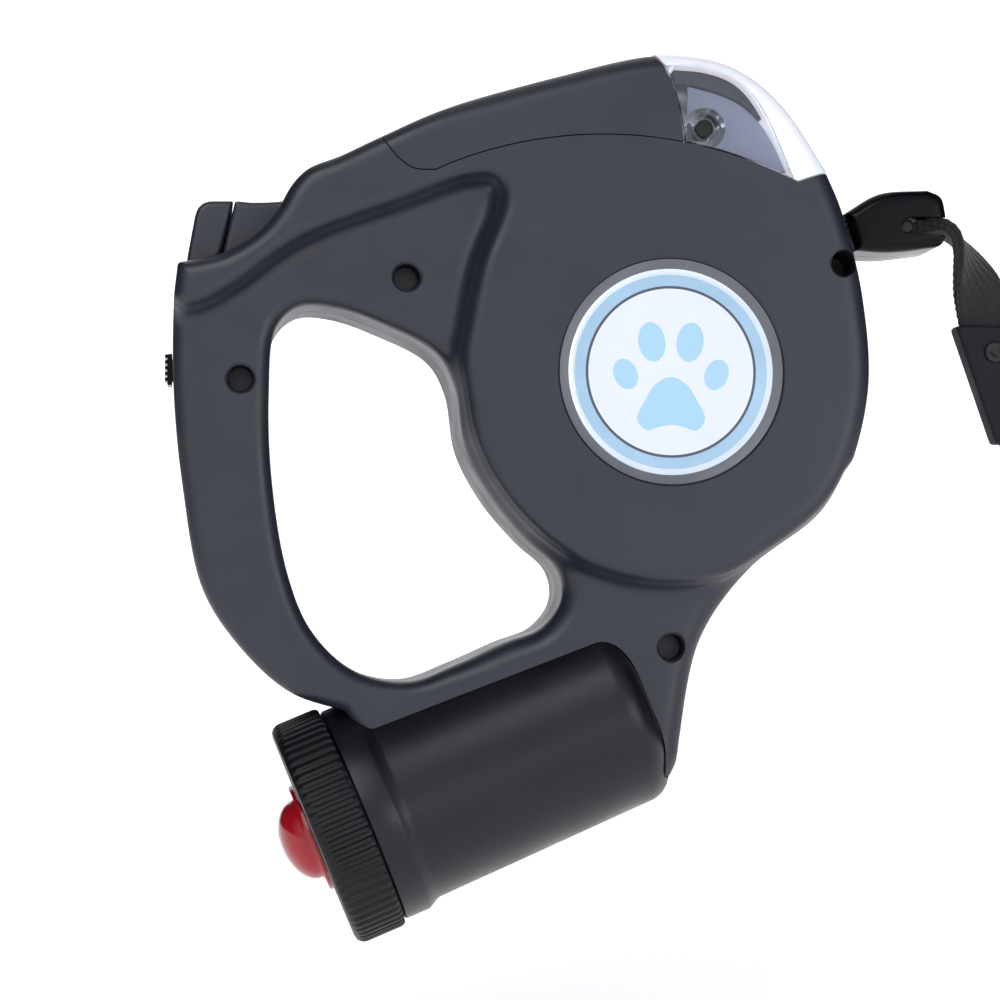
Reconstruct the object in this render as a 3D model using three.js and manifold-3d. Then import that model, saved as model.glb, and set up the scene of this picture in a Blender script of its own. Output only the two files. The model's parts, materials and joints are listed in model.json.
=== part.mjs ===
/**
 * Retractable dog leash. A two-part case holds a sprung spool of tape and bends round into a
 * closed hand grip. A lamp sits on top, a brake button and its lock lie under the thumb, and a
 * barrel for waste bags closes the foot of the grip. The tape ends in a stopper, a short
 * doubled strap and a swivelling bolt snap.
 *
 * Millimetres. +X is forward, the way the tape leaves. +Z is up. The case parts at y = 0, so
 * its right half is at -Y and its left half at +Y. The origin is the centre of the hand's grip;
 * every shape is drawn about the spool's axle, and the whole is moved by AXLE_PLACE.
 */
import * as THREE from "three";
import { mergeVertices } from "three/addons/utils/BufferGeometryUtils.js";
import Module from "manifold-3d";

const wasm = await Module();
wasm.setup();

// ---- Driving dimensions -------------------------------------------------------------------
const AXLE_PLACE = [99, 0, 14]; // the axle, seen from the centre of the grip
const GAP = 0.3; // between pieces that touch
const FACE = 22; // half thickness over the drum, the arm's ridge and the lamp
const WEB = 15.5; // half thickness of the grip, the pocket and the lower web
const FACE_WALL = 4; // over the drum, where the label is let in
const WEB_WALL = 2.5;
const RIM_WALL = 2.8; // round the outline of the case
const DRUM_RADIUS = 46.6;
const SEAM_CENTRE = [-13.3, -42.2]; // of the arc on which the lamp stands on the case
const SEAM_RADIUS = 94.7;

const LABEL_RADIUS = 25;
const LABEL_DEPTH = 2;

const SCREW_PLACES = [[-58.2, 21], [-94.8, -1.9], [1, -61], [39.2, 24.7]];
const SCREW_WELL = 3;
const SCREW_SEAT = 8; // depth of the screws' seats, measured from the case's parting plane
const LAMP_SCREW = [7.9, 54.6];
const CELL_RADIUS = 5.1;
const CELL_SIDES = [-5.7, 5.7];

const AXLE_RADIUS = 3;
const HUB_RADIUS = 11;
const COIL_RADIUS = 35; // 5 m of tape 0.7 mm thick, wound on the hub
const TAPE_WIDTH = 15;
const TAPE_THICK = 0.7;
const FLANGE_RADIUS = 37.5;
const TOOTH_RADIUS = 41;
const TEETH = 12;
const RATCHET = [-11, -8]; // the toothed flange, across the drum
const CUP = [9.6, 16.3]; // the spring's cup, across the drum
const CUP_RADIUS = 31.4;
const TAPE_LEVEL = COIL_RADIUS + GAP + TAPE_THICK / 2;

const THUMB_HALF = 12.6; // half width of the brake button and of its lock
const BUTTON_LEAN = 0.2318; // x per z of the button's slanting faces

const STOPPER_HALF = 10;
const PIN_PLACE = [57.3, 35.1];

const STRAP_WIDTH = 13;
const STRAP_THICK = 3.2;
const STRAP_LEAN = THREE.MathUtils.degToRad(19); // of its straight stretch, from the vertical
const STRAP_BEND_END = [78.5, 13.2];
const STRAP_STRAIGHT = 45;
const SLEEVE_LENGTH = 29;
const EYE_DROP = 2.4; // from the strap's end down to the middle of the eye's bar

const BARREL_PLACE = [-67.2, 0, -98.9]; // where the barrel's axis meets the edge of its cap
const BARREL_TILT = THREE.MathUtils.degToRad(22.5);
const BARREL_RADIUS = 23.5;
const BARREL_END_RADIUS = 22.4;
const BARREL_LENGTH = 68;
const BARREL_BORE = 20.8;
const BARREL_ROUND = 6.4; // of the closed end's edge
const CAP_RADIUS = 26.5;
const CAP_LENGTH = 11.6;

const FINISHES = {
  shell: { color: 0x2b2e38, roughness: 0.5, metalness: 0 },
  rubber: { color: 0x121315, roughness: 0.75, metalness: 0 },
  black: { color: 0x17181c, roughness: 0.4, metalness: 0 },
  grey: { color: 0x6f7278, roughness: 0.55, metalness: 0 },
  label: { color: 0xdfeaf6, roughness: 0.4, metalness: 0 },
  clear: { color: 0xc4cad6, roughness: 0.1, metalness: 0 },
  white: { color: 0xf0f2fb, roughness: 0.4, metalness: 0 },
  steel: { color: 0xb9bcc2, roughness: 0.3, metalness: 1 },
  board: { color: 0x1d6b3a, roughness: 0.6, metalness: 0 },
  cell: { color: 0x3a6ea8, roughness: 0.35, metalness: 0.3 },
  webbing: { color: 0x101113, roughness: 0.9, metalness: 0 },
  red: { color: 0x9c1420, roughness: 0.25, metalness: 0 },
  paper: { color: 0xb8a78a, roughness: 0.9, metalness: 0 },
  film: { color: 0x2f6f5a, roughness: 0.5, metalness: 0 },
};

// ---- Solids -------------------------------------------------------------------------------

/** A closed geometry with shared vertices and its faces pointing out. */
function closed(geometry) {
  geometry.deleteAttribute("normal");
  geometry.deleteAttribute("uv");
  const merged = mergeVertices(geometry, 1e-4);
  const place = merged.attributes.position;
  const corners = merged.index.array;
  const [a, b, c] = [new THREE.Vector3(), new THREE.Vector3(), new THREE.Vector3()];
  const kept = [];
  let volume = 0;
  for (let i = 0; i < corners.length; i += 3) {
    if (new Set(corners.subarray(i, i + 3)).size < 3) continue;
    a.fromBufferAttribute(place, corners[i]);
    b.fromBufferAttribute(place, corners[i + 1]);
    c.fromBufferAttribute(place, corners[i + 2]);
    volume += a.dot(b.cross(c));
    kept.push(corners[i], corners[i + 1], corners[i + 2]);
  }
  if (volume < 0) kept.reverse();
  merged.setIndex(kept);
  return merged;
}

/** The geometry as a solid that can be joined and cut. */
function solid(geometry) {
  const merged = closed(geometry);
  return new wasm.Manifold(new wasm.Mesh({
    numProp: 3,
    vertProperties: Float32Array.from(merged.attributes.position.array),
    triVerts: Uint32Array.from(merged.index.array),
  }));
}

/** The solid's surface as a geometry. */
function surface(body) {
  const mesh = body.getMesh();
  const geometry = new THREE.BufferGeometry();
  geometry.setAttribute("position", new THREE.BufferAttribute(mesh.vertProperties, 3));
  geometry.setIndex(new THREE.BufferAttribute(mesh.triVerts, 1));
  return geometry;
}

const joined = (...bodies) => bodies.reduce((whole, body) => whole.add(body));

/** The points of a smooth curve through [x, z] places, evenly spaced. */
function through(places, steps, ring = false) {
  const knots = places.map(([x, z]) => new THREE.Vector3(x, z, 0));
  const curve = new THREE.CatmullRomCurve3(knots, ring, "centripetal");
  const points = curve.getSpacedPoints(steps).map((p) => new THREE.Vector2(p.x, p.y));
  return ring ? points.slice(1) : points;
}

/** The points of an arc, with its angles in degrees. */
function arc([x, z], radius, from, to, steps) {
  return Array.from({ length: steps + 1 }, (_, i) => {
    const angle = THREE.MathUtils.degToRad(from + ((to - from) * i) / steps);
    return new THREE.Vector2(x + radius * Math.cos(angle), z + radius * Math.sin(angle));
  });
}

/** A shape from runs of points and single [x, z] corners, without doubled points. */
function outline(...runs) {
  const points = runs.flatMap((run) => (run[0] instanceof THREE.Vector2 ? run : [new THREE.Vector2(...run)]));
  return new THREE.Shape(points.filter((p, i) => p.distanceTo(points.at(i - 1)) > 0.05));
}

/** A shape drawn in x and z, made solid from y = low to y = high, and grown by `grow`. */
function prism(shape, low, high, grow = 0) {
  const geometry = new THREE.ExtrudeGeometry(shape, {
    depth: high - low,
    bevelEnabled: grow !== 0,
    bevelThickness: 0,
    bevelSize: 0,
    bevelOffset: grow,
    bevelSegments: 1,
  });
  return geometry.rotateX(Math.PI / 2).translate(0, high, 0);
}

/** A shape drawn in x and z, as thick as twice `half`, with its edges rounded. */
function rounded(shape, half, round, steps = 2) {
  const geometry = new THREE.ExtrudeGeometry(shape, {
    depth: 2 * (half - round),
    bevelThickness: round,
    bevelSize: round,
    bevelOffset: -round,
    bevelSegments: steps,
  });
  return geometry.rotateX(Math.PI / 2).translate(0, half - round, 0);
}

/** A round bar along y. */
function bar([x, z], radius, low, high, sides = 16) {
  const geometry = new THREE.CylinderGeometry(radius, radius, high - low, sides);
  return geometry.translate(x, (low + high) / 2, z);
}

/** A block between two corners. */
function block(low, high) {
  const [x, y, z] = high.map((value, i) => value - low[i]);
  return new THREE.BoxGeometry(x, y, z).translate(low[0] + x / 2, low[1] + y / 2, low[2] + z / 2);
}

/** A body turned about the y axis from [radius, y] pairs. A ring's profile closes on itself. */
function turned(profile, sides = 32, ring = true) {
  const points = profile.map(([radius, y]) => new THREE.Vector2(radius, y));
  if (ring) points.push(points[0].clone());
  return new THREE.LatheGeometry(points, sides);
}

/** A run of points moved sideways, to the right of the way it runs. */
function shifted(points, distance) {
  return points.map((p, i) => {
    const before = points[Math.max(i - 1, 0)];
    const after = points[Math.min(i + 1, points.length - 1)];
    const along = after.clone().sub(before).normalize();
    return new THREE.Vector2(p.x + along.y * distance, p.y - along.x * distance);
  });
}

/** A strip of even thickness along a run of points, as a shape. */
function ribbon(points, thickness) {
  const sides = [-thickness / 2, thickness / 2].map((distance) => shifted(points, distance));
  return new THREE.Shape([...sides[0], ...sides[1].reverse()]);
}

/** A mesh with a name and a finish of its own. */
function piece(name, shape, finish) {
  const geometry = shape.isBufferGeometry ? closed(shape) : surface(shape);
  const mesh = new THREE.Mesh(geometry, new THREE.MeshStandardMaterial(FINISHES[finish]));
  mesh.name = name;
  return mesh;
}

// ---- Outlines of the case -----------------------------------------------------------------

const gripBack = () => through([
  [-71.5, -75], [-83.5, -70.9], [-93.8, -61.8], [-102.8, -48.2], [-107.3, -26], [-109.4, -5],
  [-109.5, 14], [-108.6, 23],
], 16);

/** From the back of the grip, up past the thumb and over the lamp to its front edge. */
const crown = () => through([
  [-105, 23.6], [-98.6, 25.3], [-91.4, 29.7], [-86.9, 35], [-84, 40.2], [-80.4, 44], [-73.3, 47],
  [-64.4, 51.4], [-48.9, 58.5], [-24.3, 66.1], [-4, 71], [7.4, 70.7], [16.7, 67.7],
  [26, 60], [36, 45.3],
], 38);

/** The finger loop, the opposite way round to the outlines, as a hole is. */
const gripLoop = () => through([
  [-81.9, 14.3], [-87, 9.5], [-88.5, -5], [-87.7, -25], [-84.2, -45], [-79, -57.3],
  [-69.9, -65.9], [-58, -68.5], [-47.2, -64.8], [-35.8, -59.8], [-27.8, -56.6], [-23.3, -50.2],
  [-24.4, -43.5], [-31.3, -37], [-39.2, -27.7], [-45.1, -16.4], [-47.4, -3], [-51.7, 4.5],
  [-63.1, 10.5], [-74, 14.2],
], 44, true);

/** The whole case at the grip's thickness. It runs on into the barrel, which is cut from it. */
function webShape() {
  const front = through([
    [36, 45.3], [39.4, 37.2], [44.3, 16.9], [45.1, -5.6], [36.9, -29], [19.4, -43.3],
    [8, -59.4], [3.3, -81.8], [2.6, -86.6], [0.6, -90.6],
  ], 26);
  const shape = outline(gripBack(), crown(), front, [-10, -84], [-60, -93]);
  shape.holes.push(new THREE.Path(gripLoop()));
  return shape;
}

/** The drum and the ridge that runs from it to the thumb, at the drum's thickness. */
function faceShape() {
  const front = through([[36, 45.3], [39.4, 37.2], [44.3, 16.9], [45.1, -5.6], [43.3, -15]], 9);
  const drum = arc([0, 0], DRUM_RADIUS, -29, -184, 22);
  const pocket = through([
    [-46.3, 5], [-42.5, 23.6], [-37.6, 37.5], [-38.6, 43], [-44, 43.1], [-60.3, 37],
    [-82.2, 28.2], [-97.5, 17.2], [-103.8, 13.8], [-107.8, 15.4], [-108.3, 20], [-105, 23.6],
  ], 26);
  return outline(crown(), front, drum, pocket);
}

/** The room above the seam on which the lamp stands: its rear joint, an arc and its front edge. */
function lampRoom(grow) {
  const rear = through([[-67.4, 58], [-64.4, 51.4], [-61.2, 47], [-57.4, 44.2], [-52.4, 43.9]], 5);
  const seat = arc(SEAM_CENTRE, SEAM_RADIUS, 113.6, 63.8, 9);
  const shape = outline(rear, seat, [36, 45.3], [55, 54.8], [55, 95], [-67.4, 95]);
  return solid(prism(shape, -40, 40, grow));
}

/** Everything in front of the joint between the lamp's cover and its lens. */
function noseShape() {
  const joint = through([[-5, 85], [-3.8, 72], [-1.3, 68], [1.4, 60.7], [3.1, 51], [3.4, 30]], 9);
  return outline(joint, [70, 30], [70, 85]);
}

// ---- Case ---------------------------------------------------------------------------------

/** Turns a body drawn along its own y axis into the barrel's place. */
function barrelMatrix() {
  const along = new THREE.Vector3(Math.cos(BARREL_TILT), 0, Math.sin(BARREL_TILT));
  const turn = new THREE.Quaternion().setFromUnitVectors(new THREE.Vector3(0, 1, 0), along);
  return new THREE.Matrix4().compose(new THREE.Vector3(...BARREL_PLACE), turn, new THREE.Vector3(1, 1, 1));
}

/** The barrel's outer profile, from its shoulder to its closed end, grown by `grow`. */
function barrelProfile(grow) {
  const round = Array.from({ length: 4 }, (_, i) => {
    const angle = (i * Math.PI) / 6;
    const [radius, along] = [BARREL_END_RADIUS - BARREL_ROUND, BARREL_LENGTH - BARREL_ROUND];
    return [radius + (BARREL_ROUND + grow) * Math.cos(angle), along + (BARREL_ROUND + grow) * Math.sin(angle)];
  });
  return [[BARREL_RADIUS + 1.5 + grow, 6], [BARREL_RADIUS + grow, 8.5], ...round, [0, BARREL_LENGTH + grow]];
}

/** The room that the barrel takes up in the case. */
function barrelRoom() {
  const profile = [[0, -20], [BARREL_RADIUS + 1.5 + GAP, -20], ...barrelProfile(GAP)];
  return solid(turned(profile, 40, false).applyMatrix4(barrelMatrix()));
}

/** Where the thumb's button and its lock come through between the two halves. */
function thumbRoom() {
  const shape = outline(
    [-108, 12.2], [-107.4, 26], [-107.4, 60], [-83.8, 60], [-82.8, 39.4], [-73, 39.4], [-73, 30], [-96, 12.2],
  );
  return solid(prism(shape, -THUMB_HALF - GAP, THUMB_HALF + GAP));
}

/** Moves a shape to its place beside the lamp's cells, `along` them from their rear end. */
function alongCells(shape, along, y) {
  return shape.translate(along, y, 0).rotateY(THREE.MathUtils.degToRad(-11)).translate(-45.6, 0, 51.5);
}

/** A round bar where one cell lies. */
function cellBar(y, radius, length, middle) {
  return alongCells(new THREE.CylinderGeometry(radius, radius, length, 20).rotateZ(Math.PI / 2), middle, y);
}

function screwPosts() {
  return SCREW_PLACES.map((place) => solid(bar(place, 4.2, -FACE + 1, FACE - 1)));
}

/** The case's screw wells from the right, and the holes that run on into the left half. */
function screwHoles() {
  return SCREW_PLACES.flatMap((place) => [
    solid(bar(place, SCREW_WELL, -30, -SCREW_SEAT, 20)),
    solid(bar(place, 1.8, -SCREW_SEAT - 1, 10.5, 12)),
  ]);
}

/** The drum, its ridge and the lamp above them, before they are parted. */
const faceBody = () => solid(rounded(faceShape(), FACE, 2.8));

/** Both halves of the case as one body, before they are parted. */
function wholeCase() {
  const outer = joined(solid(rounded(webShape(), WEB, 3)), faceBody()).subtract(lampRoom(GAP / 2));
  const hollow = joined(
    solid(prism(webShape(), -WEB + WEB_WALL, WEB - WEB_WALL, -RIM_WALL)),
    solid(prism(faceShape(), -FACE + FACE_WALL, FACE - FACE_WALL, -RIM_WALL)),
  ).subtract(lampRoom(RIM_WALL));
  const shelf = solid(block([-107.5, -14, 8], [-89, 14, 10.5]));
  const inside = joined(
    shelf,
    ...screwPosts(),
    solid(bar([0, 0], 6, -FACE + 1, -13.2, 20)),
    solid(bar([0, 0], 6, 16.6, FACE - 1, 20)),
  ).intersect(outer);
  const cuts = joined(
    barrelRoom(),
    thumbRoom(),
    ...screwHoles(),
    solid(bar([0, 0], AXLE_RADIUS + GAP, -18.6, 18.6, 16)),
    solid(bar([0, 0], LABEL_RADIUS + GAP, -FACE - 1, -FACE + LABEL_DEPTH, 40)),
    solid(bar([0, 0], LABEL_RADIUS + GAP, FACE - LABEL_DEPTH, FACE + 1, 40)),
    solid(block([34, -9.3, TAPE_LEVEL - 2.9], [48, 9.3, TAPE_LEVEL + 2.9])),
    ...CELL_SIDES.map((y) => solid(cellBar(y, CELL_RADIUS + GAP, 45, 22.15))),
    solid(block([-113, -2.3, -2.3], [-105, 2.3, 7.3])),
  );
  return outer.subtract(hollow).add(inside).subtract(cuts).add(lampPost());
}

/** The post on the case's right half that takes the lamp's screw. */
function lampPost() {
  const [x, z] = LAMP_SCREW;
  const post = joined(
    solid(bar(LAMP_SCREW, 3.4, -13.9, -5)),
    solid(block([x - 2.4, -13.9, 46.5], [x + 2.4, -5, z])),
  );
  return post.subtract(solid(bar(LAMP_SCREW, 1.5, -15, -3, 12)));
}

function caseHalves() {
  const whole = wholeCase();
  const right = whole.intersect(solid(block([-200, -40, -200], [200, -GAP / 2, 200])));
  const left = whole.intersect(solid(block([-200, GAP / 2, -200], [200, 40, 200])));
  return [piece("case_right", right, "shell"), piece("case_left", left, "shell")];
}

/** A screw along y with its head at `head` and its tip at `tip`. */
function screw(name, [x, z], head, tip, radius) {
  const shape = turned([[0, head - 1.9], [1.7 * radius, head - 1.9], [1.7 * radius, head],
    [radius, head], [radius, tip], [0, tip]], 12, false);
  return piece(name, shape.translate(x, 0, z), "steel");
}

function caseScrews() {
  return SCREW_PLACES.map((place, i) => screw(`case_screw_${i + 1}`, place, -SCREW_SEAT - GAP, 9.8, 1.5));
}

function labels() {
  const [low, high] = [FACE - LABEL_DEPTH + GAP, FACE - 0.5];
  return [
    piece("label_right", bar([0, 0], LABEL_RADIUS, -high, -low, 40), "label"),
    piece("label_left", bar([0, 0], LABEL_RADIUS, low, high, 40), "label"),
  ];
}

// ---- Lamp ---------------------------------------------------------------------------------

/** The lamp's space inside a wall of the given thickness, open downwards to its seat. */
const lampHollow = (wall) => solid(prism(faceShape(), -FACE + wall, FACE - wall, -wall));

function lampCover(body) {
  const nose = solid(prism(noseShape(), -30, 30).translate(-GAP, 0, 0));
  const slot = solid(block([-11, -3.4, 60], [-5.4, 3.4, 80]));
  const rear = solid(block([-70, -30, 30], [-55.4, 30, 80]));
  const hollow = lampHollow(2.2).subtract(rear);
  return piece("lamp_cover", body.subtract(nose).subtract(hollow).subtract(slot), "shell");
}

function lampLens(body) {
  const boss = solid(bar(LAMP_SCREW, 4.3, -FACE + 1, -14.3, 20));
  const well = joined(
    solid(bar(LAMP_SCREW, 2.9, -30, -17.5)),
    solid(bar(LAMP_SCREW, 1.6, -20, -10, 12)),
  );
  const nose = solid(prism(noseShape(), -30, 30));
  return piece("lamp_lens", body.intersect(nose).subtract(lampHollow(2)).add(boss).subtract(well), "clear");
}

/** The opal band along the lens's front edge, lit from behind. */
function lampDiffuser() {
  const crest = shifted(through([[4, 71.1], [7.4, 70.7], [16.7, 67.7], [26, 60], [34.6, 47.9]], 14), 2.6);
  const inner = through([[27, 46.2], [22.9, 54.6], [20, 59.9], [17, 63.7], [13.4, 66.2], [7.6, 67.6]], 10);
  return piece("lamp_diffuser", prism(outline(crest, inner), -17.5, 17.5), "white");
}

/** The dark tray that the board's light is gathered in, under the band. */
function lampTray() {
  const upper = through([[2.4, 67], [7.6, 67], [13, 65.6], [16.5, 63.2], [19.4, 59.5], [20.7, 57.4]], 10);
  const lower = through([[19.9, 57.2], [16, 60.5], [10.6, 62.8], [5.2, 64.2], [2.6, 64.3]], 8);
  return piece("lamp_reflector", prism(outline(upper, lower), -16.5, 16.5), "black");
}

function lampInside() {
  const turn = THREE.MathUtils.degToRad(-36.9); // the lamp looks forward and up
  const place = (shape, along, y) => shape.rotateY(turn).translate(14.6 + 0.8 * along, y, 53.2 + 0.6 * along);
  const led = () => new THREE.CylinderGeometry(2.4, 2.4, 4.6, 12).rotateZ(Math.PI / 2);
  return [
    lampDiffuser(),
    lampTray(),
    piece("lamp_board", place(new THREE.BoxGeometry(1.2, 26, 12), 0, 0), "board"),
    ...[-9, 0, 9].map((y, i) => piece(`led_${i + 1}`, place(led(), 0.6 + GAP + 2.3, y), "white")),
  ];
}

/** Two cells side by side under the cover, and the plates at their ends. */
function lampCells() {
  const plate = () => new THREE.BoxGeometry(0.5, 20, 8);
  return [
    ...CELL_SIDES.map((y, i) => piece(`cell_${i + 1}`, cellBar(y, CELL_RADIUS, 43.4, 22), "cell")),
    piece("contact_rear", alongCells(plate(), -0.3, 0), "steel"),
    piece("contact_front", alongCells(plate(), 44.3, 0), "steel"),
  ];
}

/** The lamp's slide switch: a foot under the cover and a small knob through it. */
function lampSwitch() {
  const foot = solid(block([-10.8, -5, 65.4], [-5.2, 5, 66.5]));
  const knob = solid(block([-8, -3, 66], [-6.4, 3, 71.7]));
  return piece("lamp_switch", foot.add(knob), "black");
}

function lamp() {
  const body = faceBody().intersect(lampRoom(-GAP / 2));
  return [
    lampCover(body),
    lampLens(body),
    ...lampInside(),
    ...lampCells(),
    lampSwitch(),
    screw("lamp_screw", LAMP_SCREW, -17.8, -7, 1.2),
  ];
}

// ---- Spool, spring and tape ---------------------------------------------------------------

/** The ratchet's saw teeth round the right-hand flange. */
function ratchetShape() {
  const points = Array.from({ length: TEETH }, (_, i) => {
    const at = (share) => ((i + share) * 2 * Math.PI) / TEETH + THREE.MathUtils.degToRad(143);
    return [[FLANGE_RADIUS, 0.22], [FLANGE_RADIUS, -0.22], [TOOTH_RADIUS, -0.3], [TOOTH_RADIUS, -0.42]]
      .map(([radius, share]) => new THREE.Vector2(radius * Math.cos(at(share)), radius * Math.sin(at(share))))
      .reverse();
  });
  return new THREE.Shape(points.flat());
}

function spool() {
  const bore = AXLE_RADIUS + GAP;
  const [low, high] = CUP;
  const web = turned([
    [bore, RATCHET[0]], [HUB_RADIUS, RATCHET[0]], [HUB_RADIUS, 8], [FLANGE_RADIUS, 8], [FLANGE_RADIUS, low],
    [CUP_RADIUS, low], [CUP_RADIUS, high], [CUP_RADIUS - 1.4, high], [CUP_RADIUS - 1.4, low], [bore, low],
  ], 40);
  const ratchet = solid(prism(ratchetShape(), ...RATCHET)).subtract(solid(bar([0, 0], bore, -20, 20, 40)));
  return piece("spool", solid(web).add(ratchet), "grey");
}

/** The flat spring, five turns from the arbor out to the wall of its cup. */
function powerSpring() {
  const [inner, outer, turns] = [7.2, CUP_RADIUS - 2.4, 5];
  const points = Array.from({ length: turns * 18 + 1 }, (_, i) => {
    const share = i / (turns * 18);
    const angle = share * turns * 2 * Math.PI;
    const radius = inner + (outer - inner) * share;
    return new THREE.Vector2(radius * Math.cos(angle), radius * Math.sin(angle));
  });
  return piece("power_spring", prism(ribbon(points, 0.6), CUP[0] + 0.8, CUP[1] - 0.8), "steel");
}

function spoolPieces() {
  const half = TAPE_WIDTH / 2;
  const cover = turned([[6.6, 16.6], [CUP_RADIUS, 16.6], [CUP_RADIUS, 17.6], [6.6, 17.6]], 40);
  const arbor = turned([[AXLE_RADIUS + GAP, 10], [6.4, 10], [6.4, 16.2], [AXLE_RADIUS + GAP, 16.2]], 20);
  const coil = turned([[HUB_RADIUS + GAP, -half], [COIL_RADIUS, -half], [COIL_RADIUS, half],
    [HUB_RADIUS + GAP, half]], 40);
  return [
    piece("axle", bar([0, 0], AXLE_RADIUS, -18.3, 18.3, 16), "steel"),
    spool(),
    piece("spool_cover", cover, "grey"),
    piece("spring_arbor", arbor, "black"),
    powerSpring(),
    piece("tape_coil", coil, "webbing"),
  ];
}

/** The bush that the tape runs out through. */
function mouthGuide() {
  const frame = solid(block([36.8, -9, TAPE_LEVEL - 2.6], [39.4, 9, TAPE_LEVEL + 2.6]));
  const slot = solid(block([36, -8, TAPE_LEVEL - 0.9], [48, 8, TAPE_LEVEL + 0.9]));
  return piece("mouth_guide", frame.subtract(slot), "black");
}

function stopperShape() {
  return outline(
    through([[42.6, 37.9], [50.6, 42.5], [61.9, 43.6]], 6),
    through([[61.9, 43.6], [65.2, 42], [66.3, 38]], 3),
    through([[66.3, 33], [65.2, 31], [60.8, 30], [52.8, 29.1], [45.2, 29.4]], 6),
  );
}

/** The stopper's two halves, clamped over the end of the tape, and the pin for the strap. */
function stopper() {
  const slot = outline([70, 32.6], [70, 38.1], [62, 37.9], arc([57.4, 35.15], 2.55, 90, 270, 8));
  const pocket = block([30, -8, TAPE_LEVEL - TAPE_THICK / 2 - GAP], [52.6, 8, TAPE_LEVEL + TAPE_THICK / 2 + GAP]);
  const whole = solid(rounded(stopperShape(), STOPPER_HALF, 2.4))
    .subtract(solid(prism(slot, -8, 8)))
    .subtract(solid(prism(slot, -30, 30, -0.8)))
    .subtract(solid(pocket));
  const right = whole.intersect(solid(block([0, -30, 0], [90, -GAP / 2, 60])));
  const left = whole.intersect(solid(block([0, GAP / 2, 0], [90, 30, 60])));
  return [
    piece("stopper_right", right, "black"),
    piece("stopper_left", left, "black"),
    piece("stopper_pin", bar(PIN_PLACE, 1.2, -7.7, 7.7, 12), "steel"),
  ];
}

function tapeLead() {
  const half = TAPE_WIDTH / 2;
  const [low, high] = [TAPE_LEVEL - TAPE_THICK / 2, TAPE_LEVEL + TAPE_THICK / 2];
  return piece("tape_lead", block([0, -half, low], [52.3, half, high]), "webbing");
}

// ---- Strap and snap -----------------------------------------------------------------------

/** The strap's centre line: out of the stopper, over and down, then straight. */
function strapCurve() {
  const [x, z] = STRAP_BEND_END;
  const down = (length) => [x + Math.sin(STRAP_LEAN) * length, z - Math.cos(STRAP_LEAN) * length];
  const places = [
    [58.8, 35.1], [62.4, 35.6], [66, 36.2], [69.4, 34.9], [72.2, 31.4], [74.7, 26], [76.7, 20],
    [x, z], down(9), down(18), down(27), down(36), down(STRAP_STRAIGHT),
  ];
  return new THREE.CatmullRomCurve3(places.map(([px, pz]) => new THREE.Vector3(px, 0, pz)), false, "centripetal");
}

/** The doubled strap. It leaves the stopper lying across the tape's plane, and turns to face sideways. */
function strap() {
  const curve = strapCurve();
  const length = curve.getLength();
  const steps = 34;
  const [w, t] = [STRAP_WIDTH / 2, STRAP_THICK / 2];
  const section = [[w, -t / 2], [w, t / 2], [w - 1, t], [1 - w, t], [-w, t / 2], [-w, -t / 2], [1 - w, -t], [w - 1, -t]];
  const flat = new THREE.ExtrudeGeometry(
    new THREE.Shape(section.map(([x, y]) => new THREE.Vector2(x, y))),
    { depth: 1, steps, bevelEnabled: false },
  );
  const place = flat.attributes.position;
  const across = new THREE.Vector3();
  const facing = new THREE.Vector3();
  for (let i = 0; i < place.count; i += 1) {
    const share = Math.round(place.getZ(i) * steps) / steps;
    const twist = (Math.PI / 2) * THREE.MathUtils.smoothstep(share * length, 6, 34);
    const along = curve.getTangentAt(share);
    const normal = new THREE.Vector3(-along.z, 0, along.x);
    across.set(0, Math.cos(twist), 0).addScaledVector(normal, Math.sin(twist));
    facing.crossVectors(across, along);
    const at = curve.getPointAt(share).addScaledVector(across, place.getX(i)).addScaledVector(facing, place.getY(i));
    place.setXYZ(i, at.x, at.y, at.z);
  }
  const [rivetX, rivetZ] = rivetPlace();
  return piece("end_strap", solid(flat).subtract(solid(bar([rivetX, rivetZ], 1.6, -10, 10, 12))), "webbing");
}

const rivetPlace = () => [STRAP_BEND_END[0] + 0.6, STRAP_BEND_END[1] - 6.2];

/** The sleeve over the strap's joint. Its top is cut level, and its sides follow the strap. */
function strapSleeve() {
  const [x, z] = STRAP_BEND_END;
  const half = 8 / Math.cos(STRAP_LEAN);
  const [dx, dz] = [Math.sin(STRAP_LEAN) * SLEEVE_LENGTH, -Math.cos(STRAP_LEAN) * SLEEVE_LENGTH];
  const shape = outline([x - half, z], [x + half, z], [x + half + dx, z + dz], [x - half + dx, z + dz]);
  const reach = 7 / Math.cos(STRAP_LEAN);
  const tunnel = outline([x - reach - dx, z - dz], [x + reach - dx, z - dz],
    [x + reach + 2 * dx, z + 2 * dz], [x - reach + 2 * dx, z + 2 * dz]);
  const body = solid(rounded(shape, 3, 0.8, 1))
    .subtract(solid(prism(tunnel, -2, 2)))
    .subtract(solid(bar(rivetPlace(), 1.6, -10, 10, 12)));
  return piece("strap_sleeve", body, "black");
}

function rivet() {
  const shape = turned([
    [0, -4], [1.6, -4], [2.5, -3.3], [1.3, -3.3], [1.3, 3.3], [2.5, 3.3], [1.6, 4], [0, 4],
  ], 14, false);
  const [x, z] = rivetPlace();
  return piece("rivet", shape.translate(x, 0, z), "steel");
}

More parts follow.
